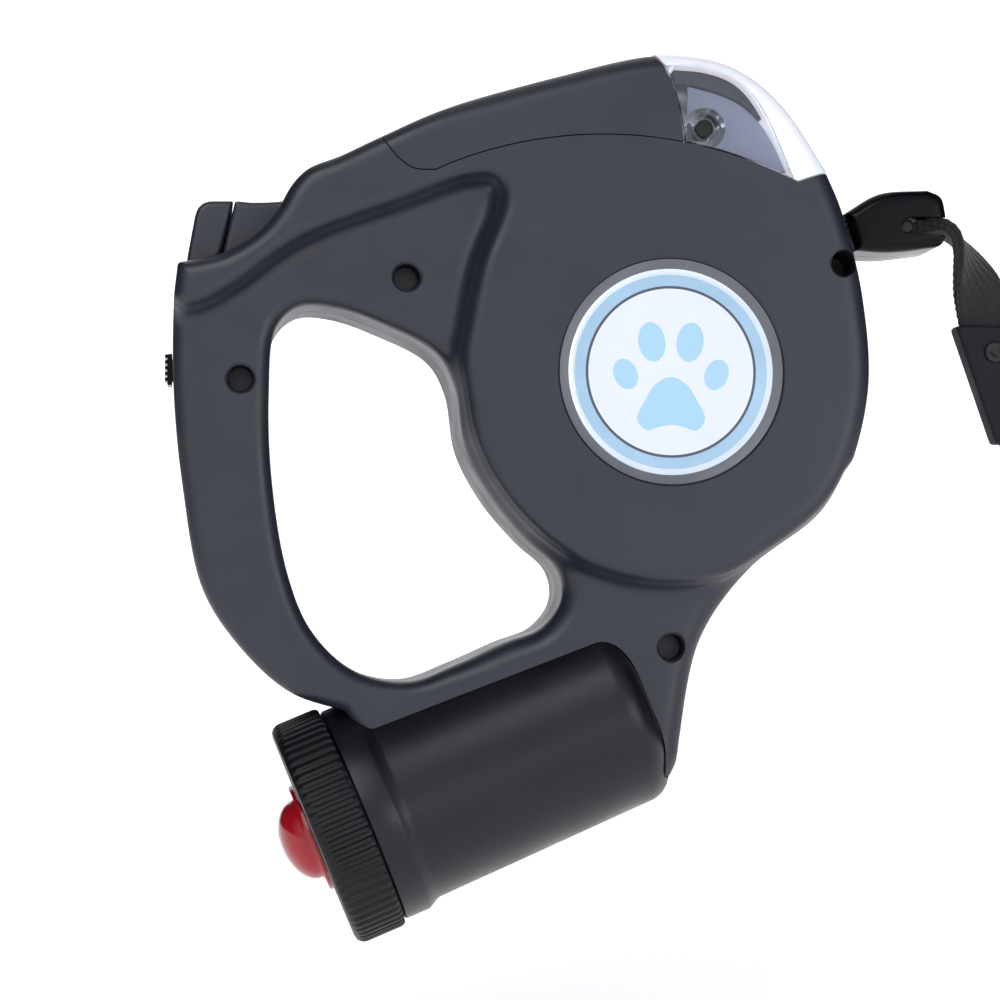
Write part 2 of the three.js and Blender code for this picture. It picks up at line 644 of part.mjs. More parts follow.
/** The eye that the strap is looped through, with a headed shank that turns in the snap. */
function swivelEye() {
  const plate = outline([-10, 1.5], [10, 1.5], [10, -6.5], [4, -11.5], [-4, -11.5], [-10, -6.5]);
  const window = outline([-7.4, -1.5], [7.4, -1.5], [7.4, -5.6], [2.6, -8.6], [-2.6, -8.6], [-7.4, -5.6]);
  const shank = turned([[0, -19], [3.2, -19], [3.2, -17.4], [2.1, -17.4], [2.1, -10.5], [0, -10.5]], 16, false);
  const body = solid(rounded(plate, 1.4, 0.5, 1)).subtract(solid(prism(window, -5, 5)));
  return piece("swivel_eye", body.add(solid(shank.rotateX(Math.PI / 2))), "steel");
}

/** The snap: a socket for the eye, a bore for the bolt and a hook that the bolt closes. */
function snapBody() {
  const hook = outline(
    [3.2, -21], [9.4, -23], arc([0, -42], 9.8, 0, -180, 10), [-9.8, -40.3], [-4.6, -40.3],
    arc([0, -43], 4.6, 180, 360, 8), [4.4, -30],
  );
  const head = turned([[0, -23.5], [4.9, -23.5], [5.4, -22], [5.4, -13.6], [4.6, -12.8], [0, -12.8]], 20, false);
  const housing = new THREE.CylinderGeometry(3.3, 3.3, 20.2, 16).rotateX(Math.PI / 2).translate(-7, 0, -23.9);
  const socket = turned([[0, -19.6], [3.6, -19.6], [3.6, -16.9], [2.5, -16.9], [2.5, -10], [0, -10]], 16, false);
  const bore = new THREE.CylinderGeometry(2.1, 2.1, 20.4, 16).rotateX(Math.PI / 2).translate(-7, 0, -25.6);
  const slot = block([-8.1, -6, -32.6], [-5.9, 0, -22]);
  const body = joined(
    solid(rounded(hook, 2.9, 0.9, 1)),
    solid(head.rotateX(Math.PI / 2)),
    solid(housing),
    solid(block([-6, -2.9, -27], [5.5, 2.9, -18])),
  );
  const cuts = joined(solid(socket.rotateX(Math.PI / 2)), solid(bore), solid(slot));
  return piece("snap_body", body.subtract(cuts), "steel");
}

/** The bolt that closes the snap, with its thumb knob, and the spring behind it. */
function snapBolt() {
  const shaft = new THREE.CylinderGeometry(1.75, 1.75, 14.7, 14).rotateX(Math.PI / 2).translate(-7, 0, -32.65);
  const knob = block([-7.8, -5.6, -31.4], [-6.2, 0, -28.6]);
  return piece("snap_bolt", solid(shaft).add(solid(knob)), "steel");
}

function boltSpring() {
  const shape = new THREE.CylinderGeometry(1.6, 1.6, 9.2, 10).rotateX(Math.PI / 2).translate(-7, 0, -20.4);
  return piece("bolt_spring", shape, "steel");
}

/** The snap hangs in line with the strap, below its straight stretch. */
function snap() {
  const group = new THREE.Group();
  const reach = STRAP_STRAIGHT + EYE_DROP;
  const [x, z] = STRAP_BEND_END;
  group.position.set(x + Math.sin(STRAP_LEAN) * reach, 0, z - Math.cos(STRAP_LEAN) * reach);
  group.rotation.y = -STRAP_LEAN;
  group.add(swivelEye(), snapBody(), snapBolt(), boltSpring());
  return group;
}

// ---- Brake --------------------------------------------------------------------------------

/** The brake button, hollow and open below. Its front and back lean alike, and it slides along them. */
function brakeButton() {
  const front = (z) => -96 + BUTTON_LEAN * (z - 40);
  const shape = outline([front(15.5), 15.5], [front(37.8), 37.8], [-102, 37.7], [-103.9, 36.6],
    [-105, 34], [-106.6, 25], [-106.6, 15.5]);
  const wall = (z) => [front(z) - 1.7, z];
  const roof = outline(wall(31.3), [-103.1, 31.3], [-105, 24], [-105, 14], wall(14));
  const body = solid(rounded(shape, THUMB_HALF - GAP, 0.8, 1))
    .subtract(solid(prism(roof, -10.6, 10.6)))
    .subtract(solid(block([-105, -4.2, 14], [-95, 4.2, 31.3])));
  return piece("brake_button", body, "shell");
}

/** The lock slides forward over the button's link, under the arm's edge. */
function lockSlider() {
  const lean = (x, z) => [x + BUTTON_LEAN * (z - 40), z];
  const shape = outline(
    lean(-95.6, 25.8), lean(-95.6, 37.8), [-89, 37.7], [-83.8, 38.2],
    [-78.6, 38.6], [-78.6, 35.3], [-84, 31.6], [-91, 26],
  );
  const roof = outline([-93.4, 35.6], [-78, 35.9], [-78, 20], [-100, 20], [-100, 31.2], [-93.4, 31.2]);
  const body = solid(rounded(shape, THUMB_HALF - GAP, 0.8, 1));
  return piece("lock_slider", body.subtract(solid(prism(roof, -10.9, 10.9))), "shell");
}

/** The link from the button to the spool's teeth. */
function brakeRod() {
  const path = through([[-94.6, 24], [-88, 28.6], [-72, 31], [-56, 29.9], [-44, 27.6], [-33.9, 25.5]], 12);
  return piece("brake_rod", prism(ribbon(path, 3.6), RATCHET[0] + 0.3, RATCHET[1] - 0.3), "grey");
}

function buttonSpring() {
  const shape = new THREE.CylinderGeometry(1.9, 1.9, 20.1, 12).rotateX(Math.PI / 2);
  return piece("button_spring", shape.translate(-101.5, 0, 20.85), "steel");
}

/** The ribbed slide on the back of the grip, with its foot inside the case. */
function rearSlide() {
  const ribs = outline([-111.6, 4.4], [-109.9, 4.4], [-109.9, -2.4], [-110.6, -2.6], [-111.4, -1]);
  const parts = joined(
    solid(prism(ribs, -3.2, 3.2)),
    solid(block([-110.2, -2, -1.6], [-105.5, 2, 3.4])),
    solid(block([-106.1, -4, -3.5], [-105.1, 4, 5.3])),
  );
  return piece("rear_slide", parts, "black");
}

// ---- Bag barrel ---------------------------------------------------------------------------

function bagBarrel() {
  const neck = BARREL_BORE + 1.5;
  const inner = BARREL_LENGTH - 2.8;
  const profile = [
    [BARREL_BORE, -8], [neck, -8], [neck, GAP], [BARREL_RADIUS + 1.5, GAP], ...barrelProfile(0),
    [0, inner], [14, inner], [BARREL_BORE - 1, inner - 4], [BARREL_BORE, -8],
  ];
  const start = profile.findIndex(([radius]) => radius === 0);
  const ordered = [...profile.slice(start + 1), ...profile.slice(1, start + 1)];
  return turned(ordered, 36, false);
}

function bagCap() {
  return turned([
    [9.2, -CAP_LENGTH], [CAP_RADIUS - 2, -CAP_LENGTH], [CAP_RADIUS - 0.6, -CAP_LENGTH + 0.6],
    [CAP_RADIUS, -CAP_LENGTH + 2], [CAP_RADIUS, 0], [22.6, 0], [22.6, -9.2], [9.2, -9.2],
  ], 40);
}

/** The soft outlet: a hollow dome on a flange, buttoned into the hole of the cap. */
function bagOutlet() {
  const face = -CAP_LENGTH - GAP;
  return turned([
    [0, face - 7.2], [4.2, face - 6.6], [7.4, face - 4.6], [9.1, face - 1.2], [12.5, face - 0.9],
    [12.5, face], [8.9, face], [8.9, -8.9], [11, -8.9], [11, -8.1], [7.4, -8.1], [7.2, face - 2.4],
    [5.4, face - 4.4], [0, face - 5.6],
  ], 28, false);
}

function barrel() {
  const group = new THREE.Group();
  group.applyMatrix4(barrelMatrix());
  group.add(
    piece("bag_barrel", bagBarrel(), "shell"),
    piece("bag_cap", bagCap(), "black"),
    piece("cap_seal", turned([[BARREL_BORE, -8.9], [22.3, -8.9], [22.3, -8.3], [BARREL_BORE, -8.3]], 32), "rubber"),
    piece("bag_outlet", bagOutlet(), "red"),
    piece("bag_roll", turned([[7, 1], [16.4, 1], [16.4, 60], [7, 60]], 28), "film"),
    piece("roll_core", turned([[5.6, 0.5], [6.7, 0.5], [6.7, 60.5], [5.6, 60.5]], 20), "paper"),
  );
  return group;
}

// ---- The leash ----------------------------------------------------------------------------

const leash = new THREE.Group();
leash.position.set(...AXLE_PLACE);
leash.add(
  ...caseHalves(),
  ...caseScrews(),
  ...labels(),
  ...lamp(),
  ...spoolPieces(),
  mouthGuide(),
  ...stopper(),
  tapeLead(),
  strap(),
  strapSleeve(),
  rivet(),
  snap(),
  brakeButton(),
  lockSlider(),
  brakeRod(),
  buttonSpring(),
  rearSlide(),
  barrel(),
);

const part = new THREE.Group();
part.add(leash);
export default part;
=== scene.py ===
"""A retractable leash, held by its grip: the visible pieces over the CAD frame, the stage and the camera."""

import json
import logging
import math
from collections.abc import Callable, Iterable, Sequence
from dataclasses import dataclass, field
from enum import Enum

import bmesh
import bpy
import numpy as np
from mathutils import Matrix, Vector


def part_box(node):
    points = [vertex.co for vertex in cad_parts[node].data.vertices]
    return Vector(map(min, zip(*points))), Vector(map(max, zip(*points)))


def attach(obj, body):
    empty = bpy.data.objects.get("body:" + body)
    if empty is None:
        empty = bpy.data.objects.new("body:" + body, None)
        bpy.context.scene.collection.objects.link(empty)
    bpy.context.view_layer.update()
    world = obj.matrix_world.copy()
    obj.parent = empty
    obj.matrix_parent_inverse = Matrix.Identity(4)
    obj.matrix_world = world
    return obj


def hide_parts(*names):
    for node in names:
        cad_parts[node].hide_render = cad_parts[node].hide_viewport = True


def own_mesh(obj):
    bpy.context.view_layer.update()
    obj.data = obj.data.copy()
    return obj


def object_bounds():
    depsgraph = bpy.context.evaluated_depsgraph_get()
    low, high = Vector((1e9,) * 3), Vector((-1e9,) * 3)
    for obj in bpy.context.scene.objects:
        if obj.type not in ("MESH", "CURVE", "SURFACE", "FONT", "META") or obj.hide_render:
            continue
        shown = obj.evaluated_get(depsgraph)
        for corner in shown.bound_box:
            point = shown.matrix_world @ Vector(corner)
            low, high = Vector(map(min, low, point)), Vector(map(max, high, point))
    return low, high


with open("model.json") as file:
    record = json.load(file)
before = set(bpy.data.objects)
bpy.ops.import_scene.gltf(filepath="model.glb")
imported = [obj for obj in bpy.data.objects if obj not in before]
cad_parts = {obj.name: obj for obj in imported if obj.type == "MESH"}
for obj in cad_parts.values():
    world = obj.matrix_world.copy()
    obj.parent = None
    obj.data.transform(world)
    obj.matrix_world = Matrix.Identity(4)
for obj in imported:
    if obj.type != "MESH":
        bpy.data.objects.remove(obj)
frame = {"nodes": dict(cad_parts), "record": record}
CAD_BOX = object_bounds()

LOG = logging.getLogger("leash")
MM = 0.001
Pair = tuple[float, float]
Triple = tuple[float, float, float]
Field = Callable[[np.ndarray, np.ndarray, np.ndarray], np.ndarray]

AXLE = (Vector(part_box("axle")[0]) + Vector(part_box("axle")[1])) / 2
DRUM = Matrix.Translation(AXLE) @ Matrix.Scale(MM, 4)  # millimetres about the axle to the row frame


# ---- Curves and flat regions -------------------------------------------------------------------


def spline(knots: Sequence[Pair], count: int, ring: bool = False) -> np.ndarray:
    """A smooth curve through flat places, evenly spaced.

    Args:
        knots: the places it runs through.
        count: the number of points.
        ring: whether it closes on itself.

    Returns:
        The points, one to a row. A ring's first point isn't repeated.
    """
    points = np.array(knots, float)
    if ring:
        points = np.vstack([points[-1:], points, points[:2]])
    else:
        points = np.vstack([2 * points[:1] - points[1:2], points, 2 * points[-1:] - points[-2:-1]])
    runs = []
    for a, b, c, d in zip(points, points[1:], points[2:], points[3:]):
        t1 = math.sqrt(np.linalg.norm(b - a))
        t2 = t1 + math.sqrt(np.linalg.norm(c - b))
        t3 = t2 + math.sqrt(np.linalg.norm(d - c))
        t = np.linspace(t1, t2, 25)[:-1, None]
        ab = a * (t1 - t) / t1 + b * t / t1
        bc = b * (t2 - t) / (t2 - t1) + c * (t - t1) / (t2 - t1)
        cd = c * (t3 - t) / (t3 - t2) + d * (t - t2) / (t3 - t2)
        abc = ab * (t2 - t) / t2 + bc * t / t2
        bcd = bc * (t3 - t) / (t3 - t1) + cd * (t - t1) / (t3 - t1)
        runs.append(abc * (t2 - t) / (t2 - t1) + bcd * (t - t1) / (t2 - t1))
    line = np.vstack([*runs, points[-2:-1]])
    reach = np.concatenate([[0], np.cumsum(np.linalg.norm(np.diff(line, axis=0), axis=1))])
    at = np.linspace(0, reach[-1], count + 1)[:-1] if ring else np.linspace(0, reach[-1], count)
    return np.column_stack([np.interp(at, reach, line[:, k]) for k in range(line.shape[1])])


def arc(centre: Pair, radius: float, start: float, stop: float, count: int) -> np.ndarray:
    """The points of an arc.

    Args:
        centre: its centre.
        radius: its radius.
        start: the angle it starts at, in degrees.
        stop: the angle it ends at, in degrees.
        count: the number of points.

    Returns:
        The points, one to a row.
    """
    angles = np.radians(np.linspace(start, stop, count))
    return np.column_stack([centre[0] + radius * np.cos(angles), centre[1] + radius * np.sin(angles)])


def moved(line: np.ndarray, distance: float) -> np.ndarray:
    """A run of points moved to the right of the way it runs.

    Args:
        line: the points.
        distance: how far they move.

    Returns:
        The moved points.
    """
    along = np.gradient(line, axis=0)
    along /= np.linalg.norm(along, axis=1)[:, None]
    return line + distance * np.column_stack([along[:, 1], -along[:, 0]])


def smoothstep(value: np.ndarray, low: float, high: float) -> np.ndarray:
    """A smooth rise from 0 at low to 1 at high."""
    share = np.clip((value - low) / (high - low), 0, 1)
    return share * share * (3 - 2 * share)


class Region:
    """A flat region inside one or more loops, with its signed distance held on a grid."""

    def __init__(self, loops: Sequence[np.ndarray], margin: float = 8.0, step: float = 0.5) -> None:
        """Samples the distance.

        Args:
            loops: the closed outlines; a loop inside another is a hole.
            margin: how far the grid runs past the outlines.
            step: the grid's spacing.
        """
        points = np.vstack(loops)
        self.low = points.min(0) - margin
        self.step = step
        count = np.ceil((points.max(0) + margin - self.low) / step).astype(int) + 1
        first = self.low[0] + step * np.arange(count[0])
        second = self.low[1] + step * np.arange(count[1])
        px, pz = np.meshgrid(first, second, indexing="ij")
        nearest = np.full(px.shape, 1e9)
        inside = np.zeros(px.shape, bool)
        for loop in loops:
            for (ax, az), (bx, bz) in zip(loop, np.roll(loop, -1, axis=0)):
                ex, ez = bx - ax, bz - az
                share = np.clip(((px - ax) * ex + (pz - az) * ez) / max(ex * ex + ez * ez, 1e-12), 0, 1)
                nearest = np.minimum(nearest, (px - ax - share * ex) ** 2 + (pz - az - share * ez) ** 2)
                if az != bz:
                    inside ^= ((az > pz) != (bz > pz)) & (px < ax + ex * (pz - az) / ez)
        self.values = np.where(inside, -1.0, 1.0) * np.sqrt(nearest)

    def distance(self, x: np.ndarray, z: np.ndarray) -> np.ndarray:
        """The signed distance at places, negative inside.

        Args:
            x: the places' first coordinates.
            z: their second coordinates.

        Returns:
            The distances.
        """
        top = np.array(self.values.shape) - 1.001
        u = np.clip((x - self.low[0]) / self.step, 0, top[0])
        v = np.clip((z - self.low[1]) / self.step, 0, top[1])
        i, j = u.astype(int), v.astype(int)
        s, t = u - i, v - j
        held = self.values
        lower = held[i, j] * (1 - s) + held[i + 1, j] * s
        upper = held[i, j + 1] * (1 - s) + held[i + 1, j + 1] * s
        return lower * (1 - t) + upper * t


def edge_round(a: np.ndarray, b: np.ndarray, radius: np.ndarray | float) -> np.ndarray:
    """What two distances have in common, with the edge between them rounded.

    Args:
        a: one signed distance.
        b: the other.
        radius: the edge's radius.

    Returns:
        The signed distance of the common part.
    """
    corner = np.hypot(np.maximum(radius + a, 0), np.maximum(radius + b, 0))
    return np.minimum(-radius, np.maximum(a, b)) + corner


# ---- Meshes ------------------------------------------------------------------------------------


def mesh_of(points: np.ndarray, faces: Sequence[Sequence[int]], name: str = "work") -> bpy.types.Object:
    """An object from points in millimetres and faces.

    Args:
        points: the places, one to a row.
        faces: each face's corners.
        name: the object's name.

    Returns:
        The new object, in the scene.
    """
    mesh = bpy.data.meshes.new(name)
    mesh.from_pydata(np.asarray(points, float).tolist(), [], [list(map(int, f)) for f in faces])
    mesh.validate()
    piece = bpy.data.objects.new(name, mesh)
    bpy.context.scene.collection.objects.link(piece)
    return piece


def skin(shape: Field, low: Triple, high: Triple, step: float) -> bpy.types.Object:
    """The surface where a signed distance is zero, as a mesh of even squares.

    Args:
        shape: the signed distance at x, y and z.
        low: the lowest corner searched.
        high: the highest corner searched.
        step: the size of the squares.

    Returns:
        The new object.
    """
    axes = [np.arange(a, b + step, step) for a, b in zip(low, high)]
    x, y, z = np.meshgrid(*axes, indexing="ij")
    values = shape(x, y, z)
    inside = values < 0
    size = np.array(values.shape) - 1
    corner = [(i, j, k) for i in (0, 1) for j in (0, 1) for k in (0, 1)]

    def shifted(held: np.ndarray, c: tuple[int, int, int]) -> np.ndarray:
        """The values at one corner of every cell."""
        return held[c[0] : c[0] + size[0], c[1] : c[1] + size[1], c[2] : c[2] + size[2]]

    filled = sum(shifted(inside, c).astype(np.int8) for c in corner)
    active = (filled > 0) & (filled < 8)
    number = np.full(active.shape, -1)
    number[active] = np.arange(active.sum())
    total = np.zeros((active.sum(), 3))
    crossings = np.zeros(active.sum())
    for a in corner:
        for k in range(3):
            if a[k]:
                continue
            b = tuple(1 if m == k else a[m] for m in range(3))
            at_a, at_b = shifted(values, a)[active], shifted(values, b)[active]
            crossed = (at_a < 0) != (at_b < 0)
            share = np.where(crossed, at_a / np.where(crossed, at_a - at_b, 1), 0)
            place = np.array(a, float)[None] + np.eye(3)[k][None] * share[:, None]
            total += place * crossed[:, None]
            crossings += crossed
    points = np.array(low) + step * (np.argwhere(active) + total / crossings[:, None])
    quads = []
    for k in range(3):
        m, n = (k + 1) % 3, (k + 2) % 3
        here = [slice(1, -1)] * 3
        there = [slice(1, -1)] * 3
        here[k], there[k] = slice(0, -1), slice(1, None)
        low_in, high_in = inside[tuple(here)], inside[tuple(there)]
        spots = np.argwhere(low_in != high_in)
        facing = low_in[low_in != high_in]
        spots[:, m] += 1
        spots[:, n] += 1
        ring = []
        for dm, dn in ((-1, -1), (0, -1), (0, 0), (-1, 0)):
            cell = spots.copy()
            cell[:, m] += dm
            cell[:, n] += dn
            ring.append(number[cell[:, 0], cell[:, 1], cell[:, 2]])
        quad = np.column_stack(ring)
        quad[~facing] = quad[~facing][:, ::-1]
        quads.append(quad)
    faces = np.vstack(quads)
    for _ in range(3):
        reach = 0.25 * step
        here = shape(*points.T)
        slope = np.column_stack([
            shape(*(points + nudge).T) - shape(*(points - nudge).T) for nudge in reach * np.eye(3)
        ]) / (2 * reach)
        steep = np.maximum((slope**2).sum(1), 0.25)
        move = slope * (here / steep)[:, None]
        length = np.linalg.norm(move, axis=1)
        move *= np.minimum(1, 0.4 * step / np.maximum(length, 1e-9))[:, None]
        points = points - move
    return mesh_of(points, faces[(faces >= 0).all(1)])


def prism(line: np.ndarray, low: float, high: float) -> bpy.types.Object:
    """A flat outline in x and z made solid across y.

    Args:
        line: the outline's points.
        low: its lowest y.
        high: its highest y.

    Returns:
        The new object.
    """
    if (line[:, 0] * np.roll(line[:, 1], -1) - np.roll(line[:, 0], -1) * line[:, 1]).sum() < 0:
        line = line[::-1]
    n = len(line)
    near = np.column_stack([line[:, 0], np.full(n, low), line[:, 1]])
    far = np.column_stack([line[:, 0], np.full(n, high), line[:, 1]])
    sides = [(i, n + i, n + (i + 1) % n, (i + 1) % n) for i in range(n)]
    return mesh_of(np.vstack([near, far]), [range(n), range(2 * n - 1, n - 1, -1), *sides])


def block(low: Triple, high: Triple) -> bpy.types.Object:
    """A block between two corners."""
    line = np.array([[low[0], low[2]], [high[0], low[2]], [high[0], high[2]], [low[0], high[2]]])
    return prism(line, low[1], high[1])


def turned(profile: Sequence[Pair], sides: int = 64, place: Matrix | None = None) -> bpy.types.Object:
    """A body turned about the y axis.

    Args:
        profile: [radius, y] pairs, starting and ending on the axis or closing on themselves.
        sides: the number of facets round the axis.
        place: where the body goes.

    Returns:
        The new object, with its faces pointing out.
    """
    rows = [(max(r, 0.0), y) for r, y in profile]
    ring = rows[0][0] > 1e-6
    points: list[Triple] = []
    index: list[list[int]] = []
    for radius, y in rows:
        if radius < 1e-6:
            index.append([len(points)] * sides)
            points.append((0.0, y, 0.0))
            continue
        index.append(list(range(len(points), len(points) + sides)))
        for i in range(sides):
            angle = 2 * math.pi * i / sides
            points.append((radius * math.cos(angle), y, radius * math.sin(angle)))
    pairs = list(zip(index, index[1:])) + ([(index[-1], index[0])] if ring else [])
    faces = []
    for a, b in pairs:
        for i in range(sides):
            j = (i + 1) % sides
            face = list(dict.fromkeys([a[i], a[j], b[j], b[i]]))
            if len(face) > 2:
                faces.append(face)
    piece = mesh_of(np.array(points), faces)
    if place is not None:
        piece.data.transform(place)
    outward(piece)
    return piece


def crosswise(x: float, z: float) -> Matrix:
    """The place of a turned body whose axis runs across the case at x, z."""
    return Matrix.Translation((x, 0, z))


def rod(radius: float, low: float, high: float, sides: int, place: Matrix) -> bpy.types.Object:
    """A plain round body from low to high along its axis."""
    return turned([(0, low), (radius, low), (radius, high), (0, high)], sides, place)


def outward(piece: bpy.types.Object) -> None:
    """Turns every face of a closed mesh outwards."""
    work = bmesh.new()
    work.from_mesh(piece.data)
    bmesh.ops.recalc_face_normals(work, faces=work.faces)
    if work.calc_volume(signed=True) < 0:
        bmesh.ops.reverse_faces(work, faces=work.faces)
    work.to_mesh(piece.data)
    work.free()


class Cut(Enum):
    """How one body changes another."""

    REMOVE = "DIFFERENCE"
    KEEP = "INTERSECT"
    JOIN = "UNION"


def carve(piece: bpy.types.Object, how: Cut, *tools: bpy.types.Object) -> bpy.types.Object:
    """Cuts a closed mesh with others, which are used up.

    Args:
        piece: the mesh that changes.
        how: what the tools do to it.
        *tools: the closed meshes that cut or join it.

    Returns:
        The same object.
    """
    for tool in tools:
        step = piece.modifiers.new("carve", "BOOLEAN")
        step.operation = how.value
        step.object = tool
        step.solver = "MANIFOLD"
        settle(piece)
        drop(tool)
    return piece


def settle(piece: bpy.types.Object) -> None:
    """Turns an object's modifiers into its mesh."""
    graph = bpy.context.evaluated_depsgraph_get()
    result = bpy.data.meshes.new_from_object(piece.evaluated_get(graph))
    piece.modifiers.clear()
    old = piece.data
    piece.data = result
    bpy.data.meshes.remove(old)


def drop(piece: bpy.types.Object) -> None:
    """Removes a working object and its mesh."""
    mesh = piece.data
    bpy.data.objects.remove(piece)
    bpy.data.meshes.remove(mesh)


def copied(piece: bpy.types.Object) -> bpy.types.Object:
    """A working copy of an object with a mesh of its own."""
    twin = piece.copy()
    twin.data = piece.data.copy()
    bpy.context.scene.collection.objects.link(twin)
    return twin


def soften(piece: bpy.types.Object, width: float, segments: int = 2, angle: float = 40) -> None:
    """Rounds the sharp edges of a clean mesh.

    Args:
        piece: the object.
        width: the rounding's width in millimetres.
        segments: how many strips it has.
        angle: the least turn, in degrees, that counts as sharp.
    """
    step = piece.modifiers.new("edge", "BEVEL")
    step.width = width
    step.segments = segments
    step.limit_method = "ANGLE"
    step.angle_limit = math.radians(angle)
    step.harden_normals = False
    settle(piece)


# ---- Finishes ----------------------------------------------------------------------------------


def linear(colour: str) -> tuple[float, float, float, float]:
    """An sRGB hex colour as linear red, green, blue and alpha."""
    parts = [int(colour[i : i + 2], 16) / 255 for i in (1, 3, 5)]
    return (*[c / 12.92 if c <= 0.04045 else ((c + 0.055) / 1.055) ** 2.4 for c in parts], 1.0)


def node(
    tree: bpy.types.NodeTree, kind: str, inputs: dict | None = None, **settings: object,
) -> bpy.types.Node:
    """Adds a node with its settings and links.

    Args:
        tree: the material's nodes.
        kind: the node's type.
        inputs: its sockets, by name or number, each with a value or the output that feeds it.
        **settings: its other properties.

    Returns:
        The new node.
    """
    made = tree.nodes.new(kind)
    for name, value in settings.items():
        setattr(made, name, value)
    for key, value in (inputs or {}).items():
        if isinstance(value, bpy.types.NodeSocket):
            tree.links.new(value, made.inputs[key])
        else:
            made.inputs[key].default_value = value
    return made


@dataclass(frozen=True)
class Finish:
    """A finish: what the material is and how its surface was made."""

    name: str
    colour: str
    roughness: float = 0.5
    metallic: float = 0.0
    ior: float = 1.5
    grain_mm: float = 0.8
    grain_depth: float = 0.02
    uneven: float = 0.08
    patch_mm: float = 14.0
    shade: float = 0.12
    sockets: tuple[tuple[str, float], ...] = ()

    def material(self) -> bpy.types.Material:
        """The finish as a material, made once.

        Returns:
            The material.
        """
        held = bpy.data.materials.get(self.name)
        if held is not None:
            return held
        made = bpy.data.materials.new(self.name)
        made.use_nodes = True
        made.diffuse_color = linear(self.colour)
        tree = made.node_tree
        tree.nodes.clear()
        values = {"Metallic": self.metallic, "Roughness": self.roughness}
        shader = node(tree, "ShaderNodeBsdfPrincipled", values)
        if not self.metallic:
            shader.inputs["IOR"].default_value = self.ior
        for name, value in self.sockets:
            shader.inputs[name].default_value = value
        self.dress(tree, shader)
        node(tree, "ShaderNodeOutputMaterial", {"Surface": shader.outputs[0]})
        return made

    def place(self, tree: bpy.types.NodeTree) -> bpy.types.NodeSocket:
        """Places on the piece, in metres from the row's origin."""
        return node(tree, "ShaderNodeTexCoord").outputs["Object"]

    def patches(self, tree: bpy.types.NodeTree) -> bpy.types.NodeSocket:
        """Slow patches, as from handling, from 0 to 1."""
        inputs = {"Vector": self.place(tree), "Scale": 1000 / self.patch_mm, "Detail": 3.0, "Roughness": 0.6}
        return node(tree, "ShaderNodeTexNoise", inputs).outputs[0]

    def toned(self, tree: bpy.types.NodeTree, share: bpy.types.NodeSocket) -> bpy.types.NodeSocket:
        """The colour, a little darker and lighter with a share.

        Args:
            tree: the material's nodes.
            share: the share, from 0 to 1.

        Returns:
            The colour's output.
        """
        low, high = (
            tuple(c * k for c in linear(self.colour)[:3]) + (1.0,) for k in (1 - self.shade, 1 + self.shade)
        )
        ramp = node(tree, "ShaderNodeValToRGB", {"Fac": share})
        ramp.color_ramp.elements[0].position, ramp.color_ramp.elements[0].color = 0.3, low
        ramp.color_ramp.elements[1].position, ramp.color_ramp.elements[1].color = 0.7, high
        return ramp.outputs[0]

    def gloss(self, tree: bpy.types.NodeTree, share: bpy.types.NodeSocket) -> bpy.types.NodeSocket:
        """The roughness, a little lower and higher with a share.

        Args:
            tree: the material's nodes.
            share: the share, from 0 to 1.

        Returns:
            The roughness's output.
        """
        low, high = max(self.roughness - self.uneven, 0.02), self.roughness + self.uneven
        inputs = {"Value": share, "From Min": 0.3, "From Max": 0.7, "To Min": low, "To Max": high}
        return node(tree, "ShaderNodeMapRange", inputs).outputs[0]

    def raised(
        self, tree: bpy.types.NodeTree, height: bpy.types.NodeSocket, depth_mm: float,
    ) -> bpy.types.NodeSocket:
        """A relief of a depth in millimetres, as a normal."""
        inputs = {"Height": height, "Distance": depth_mm * MM, "Strength": 1.0}
        return node(tree, "ShaderNodeBump", inputs).outputs[0]

    def dress(self, tree: bpy.types.NodeTree, shader: bpy.types.Node) -> None:
        """Feeds the shader its colour, gloss and grain.

        Args:
            tree: the material's nodes.
            shader: the shader.
        """
        share = self.patches(tree)
        grain = node(tree, "ShaderNodeTexNoise", {
            "Vector": self.place(tree), "Scale": 1000 / self.grain_mm, "Detail": 2.0, "Roughness": 0.5,
        })
        tree.links.new(self.toned(tree, share), shader.inputs["Base Color"])
        tree.links.new(self.gloss(tree, share), shader.inputs["Roughness"])
        tree.links.new(self.raised(tree, grain.outputs[0], self.grain_depth), shader.inputs["Normal"])


@dataclass(frozen=True)
class Woven(Finish):
    """Flat woven webbing: threads across the strap's width, crossed by the picks along its length."""

    thread_mm: float = 0.9

    def dress(self, tree: bpy.types.NodeTree, shader: bpy.types.Node) -> None:
        """Feeds the shader the colour and relief of the threads.

        Args:
            tree: the material's nodes.
            shader: the shader.
        """
        share = self.patches(tree)
        fibre = node(tree, "ShaderNodeTexNoise", {
            "Vector": self.place(tree), "Scale": 1000 / self.grain_mm, "Detail": 4.0, "Roughness": 0.7,
        })
        threads = node(tree, "ShaderNodeTexWave", {
            "Vector": self.place(tree), "Scale": 1000 / self.thread_mm / 20 * math.pi, "Distortion": 0.6,
            "Detail": 2.0, "Detail Scale": 2.0,
        }, wave_type="BANDS", bands_direction="DIAGONAL")
        both = {0: fibre.outputs[0], 1: threads.outputs["Fac"]}
        height = node(tree, "ShaderNodeMath", both, operation="ADD")
        tree.links.new(self.toned(tree, fibre.outputs[0]), shader.inputs["Base Color"])
        tree.links.new(self.gloss(tree, share), shader.inputs["Roughness"])
        tree.links.new(self.raised(tree, height.outputs[0], self.grain_depth), shader.inputs["Normal"])


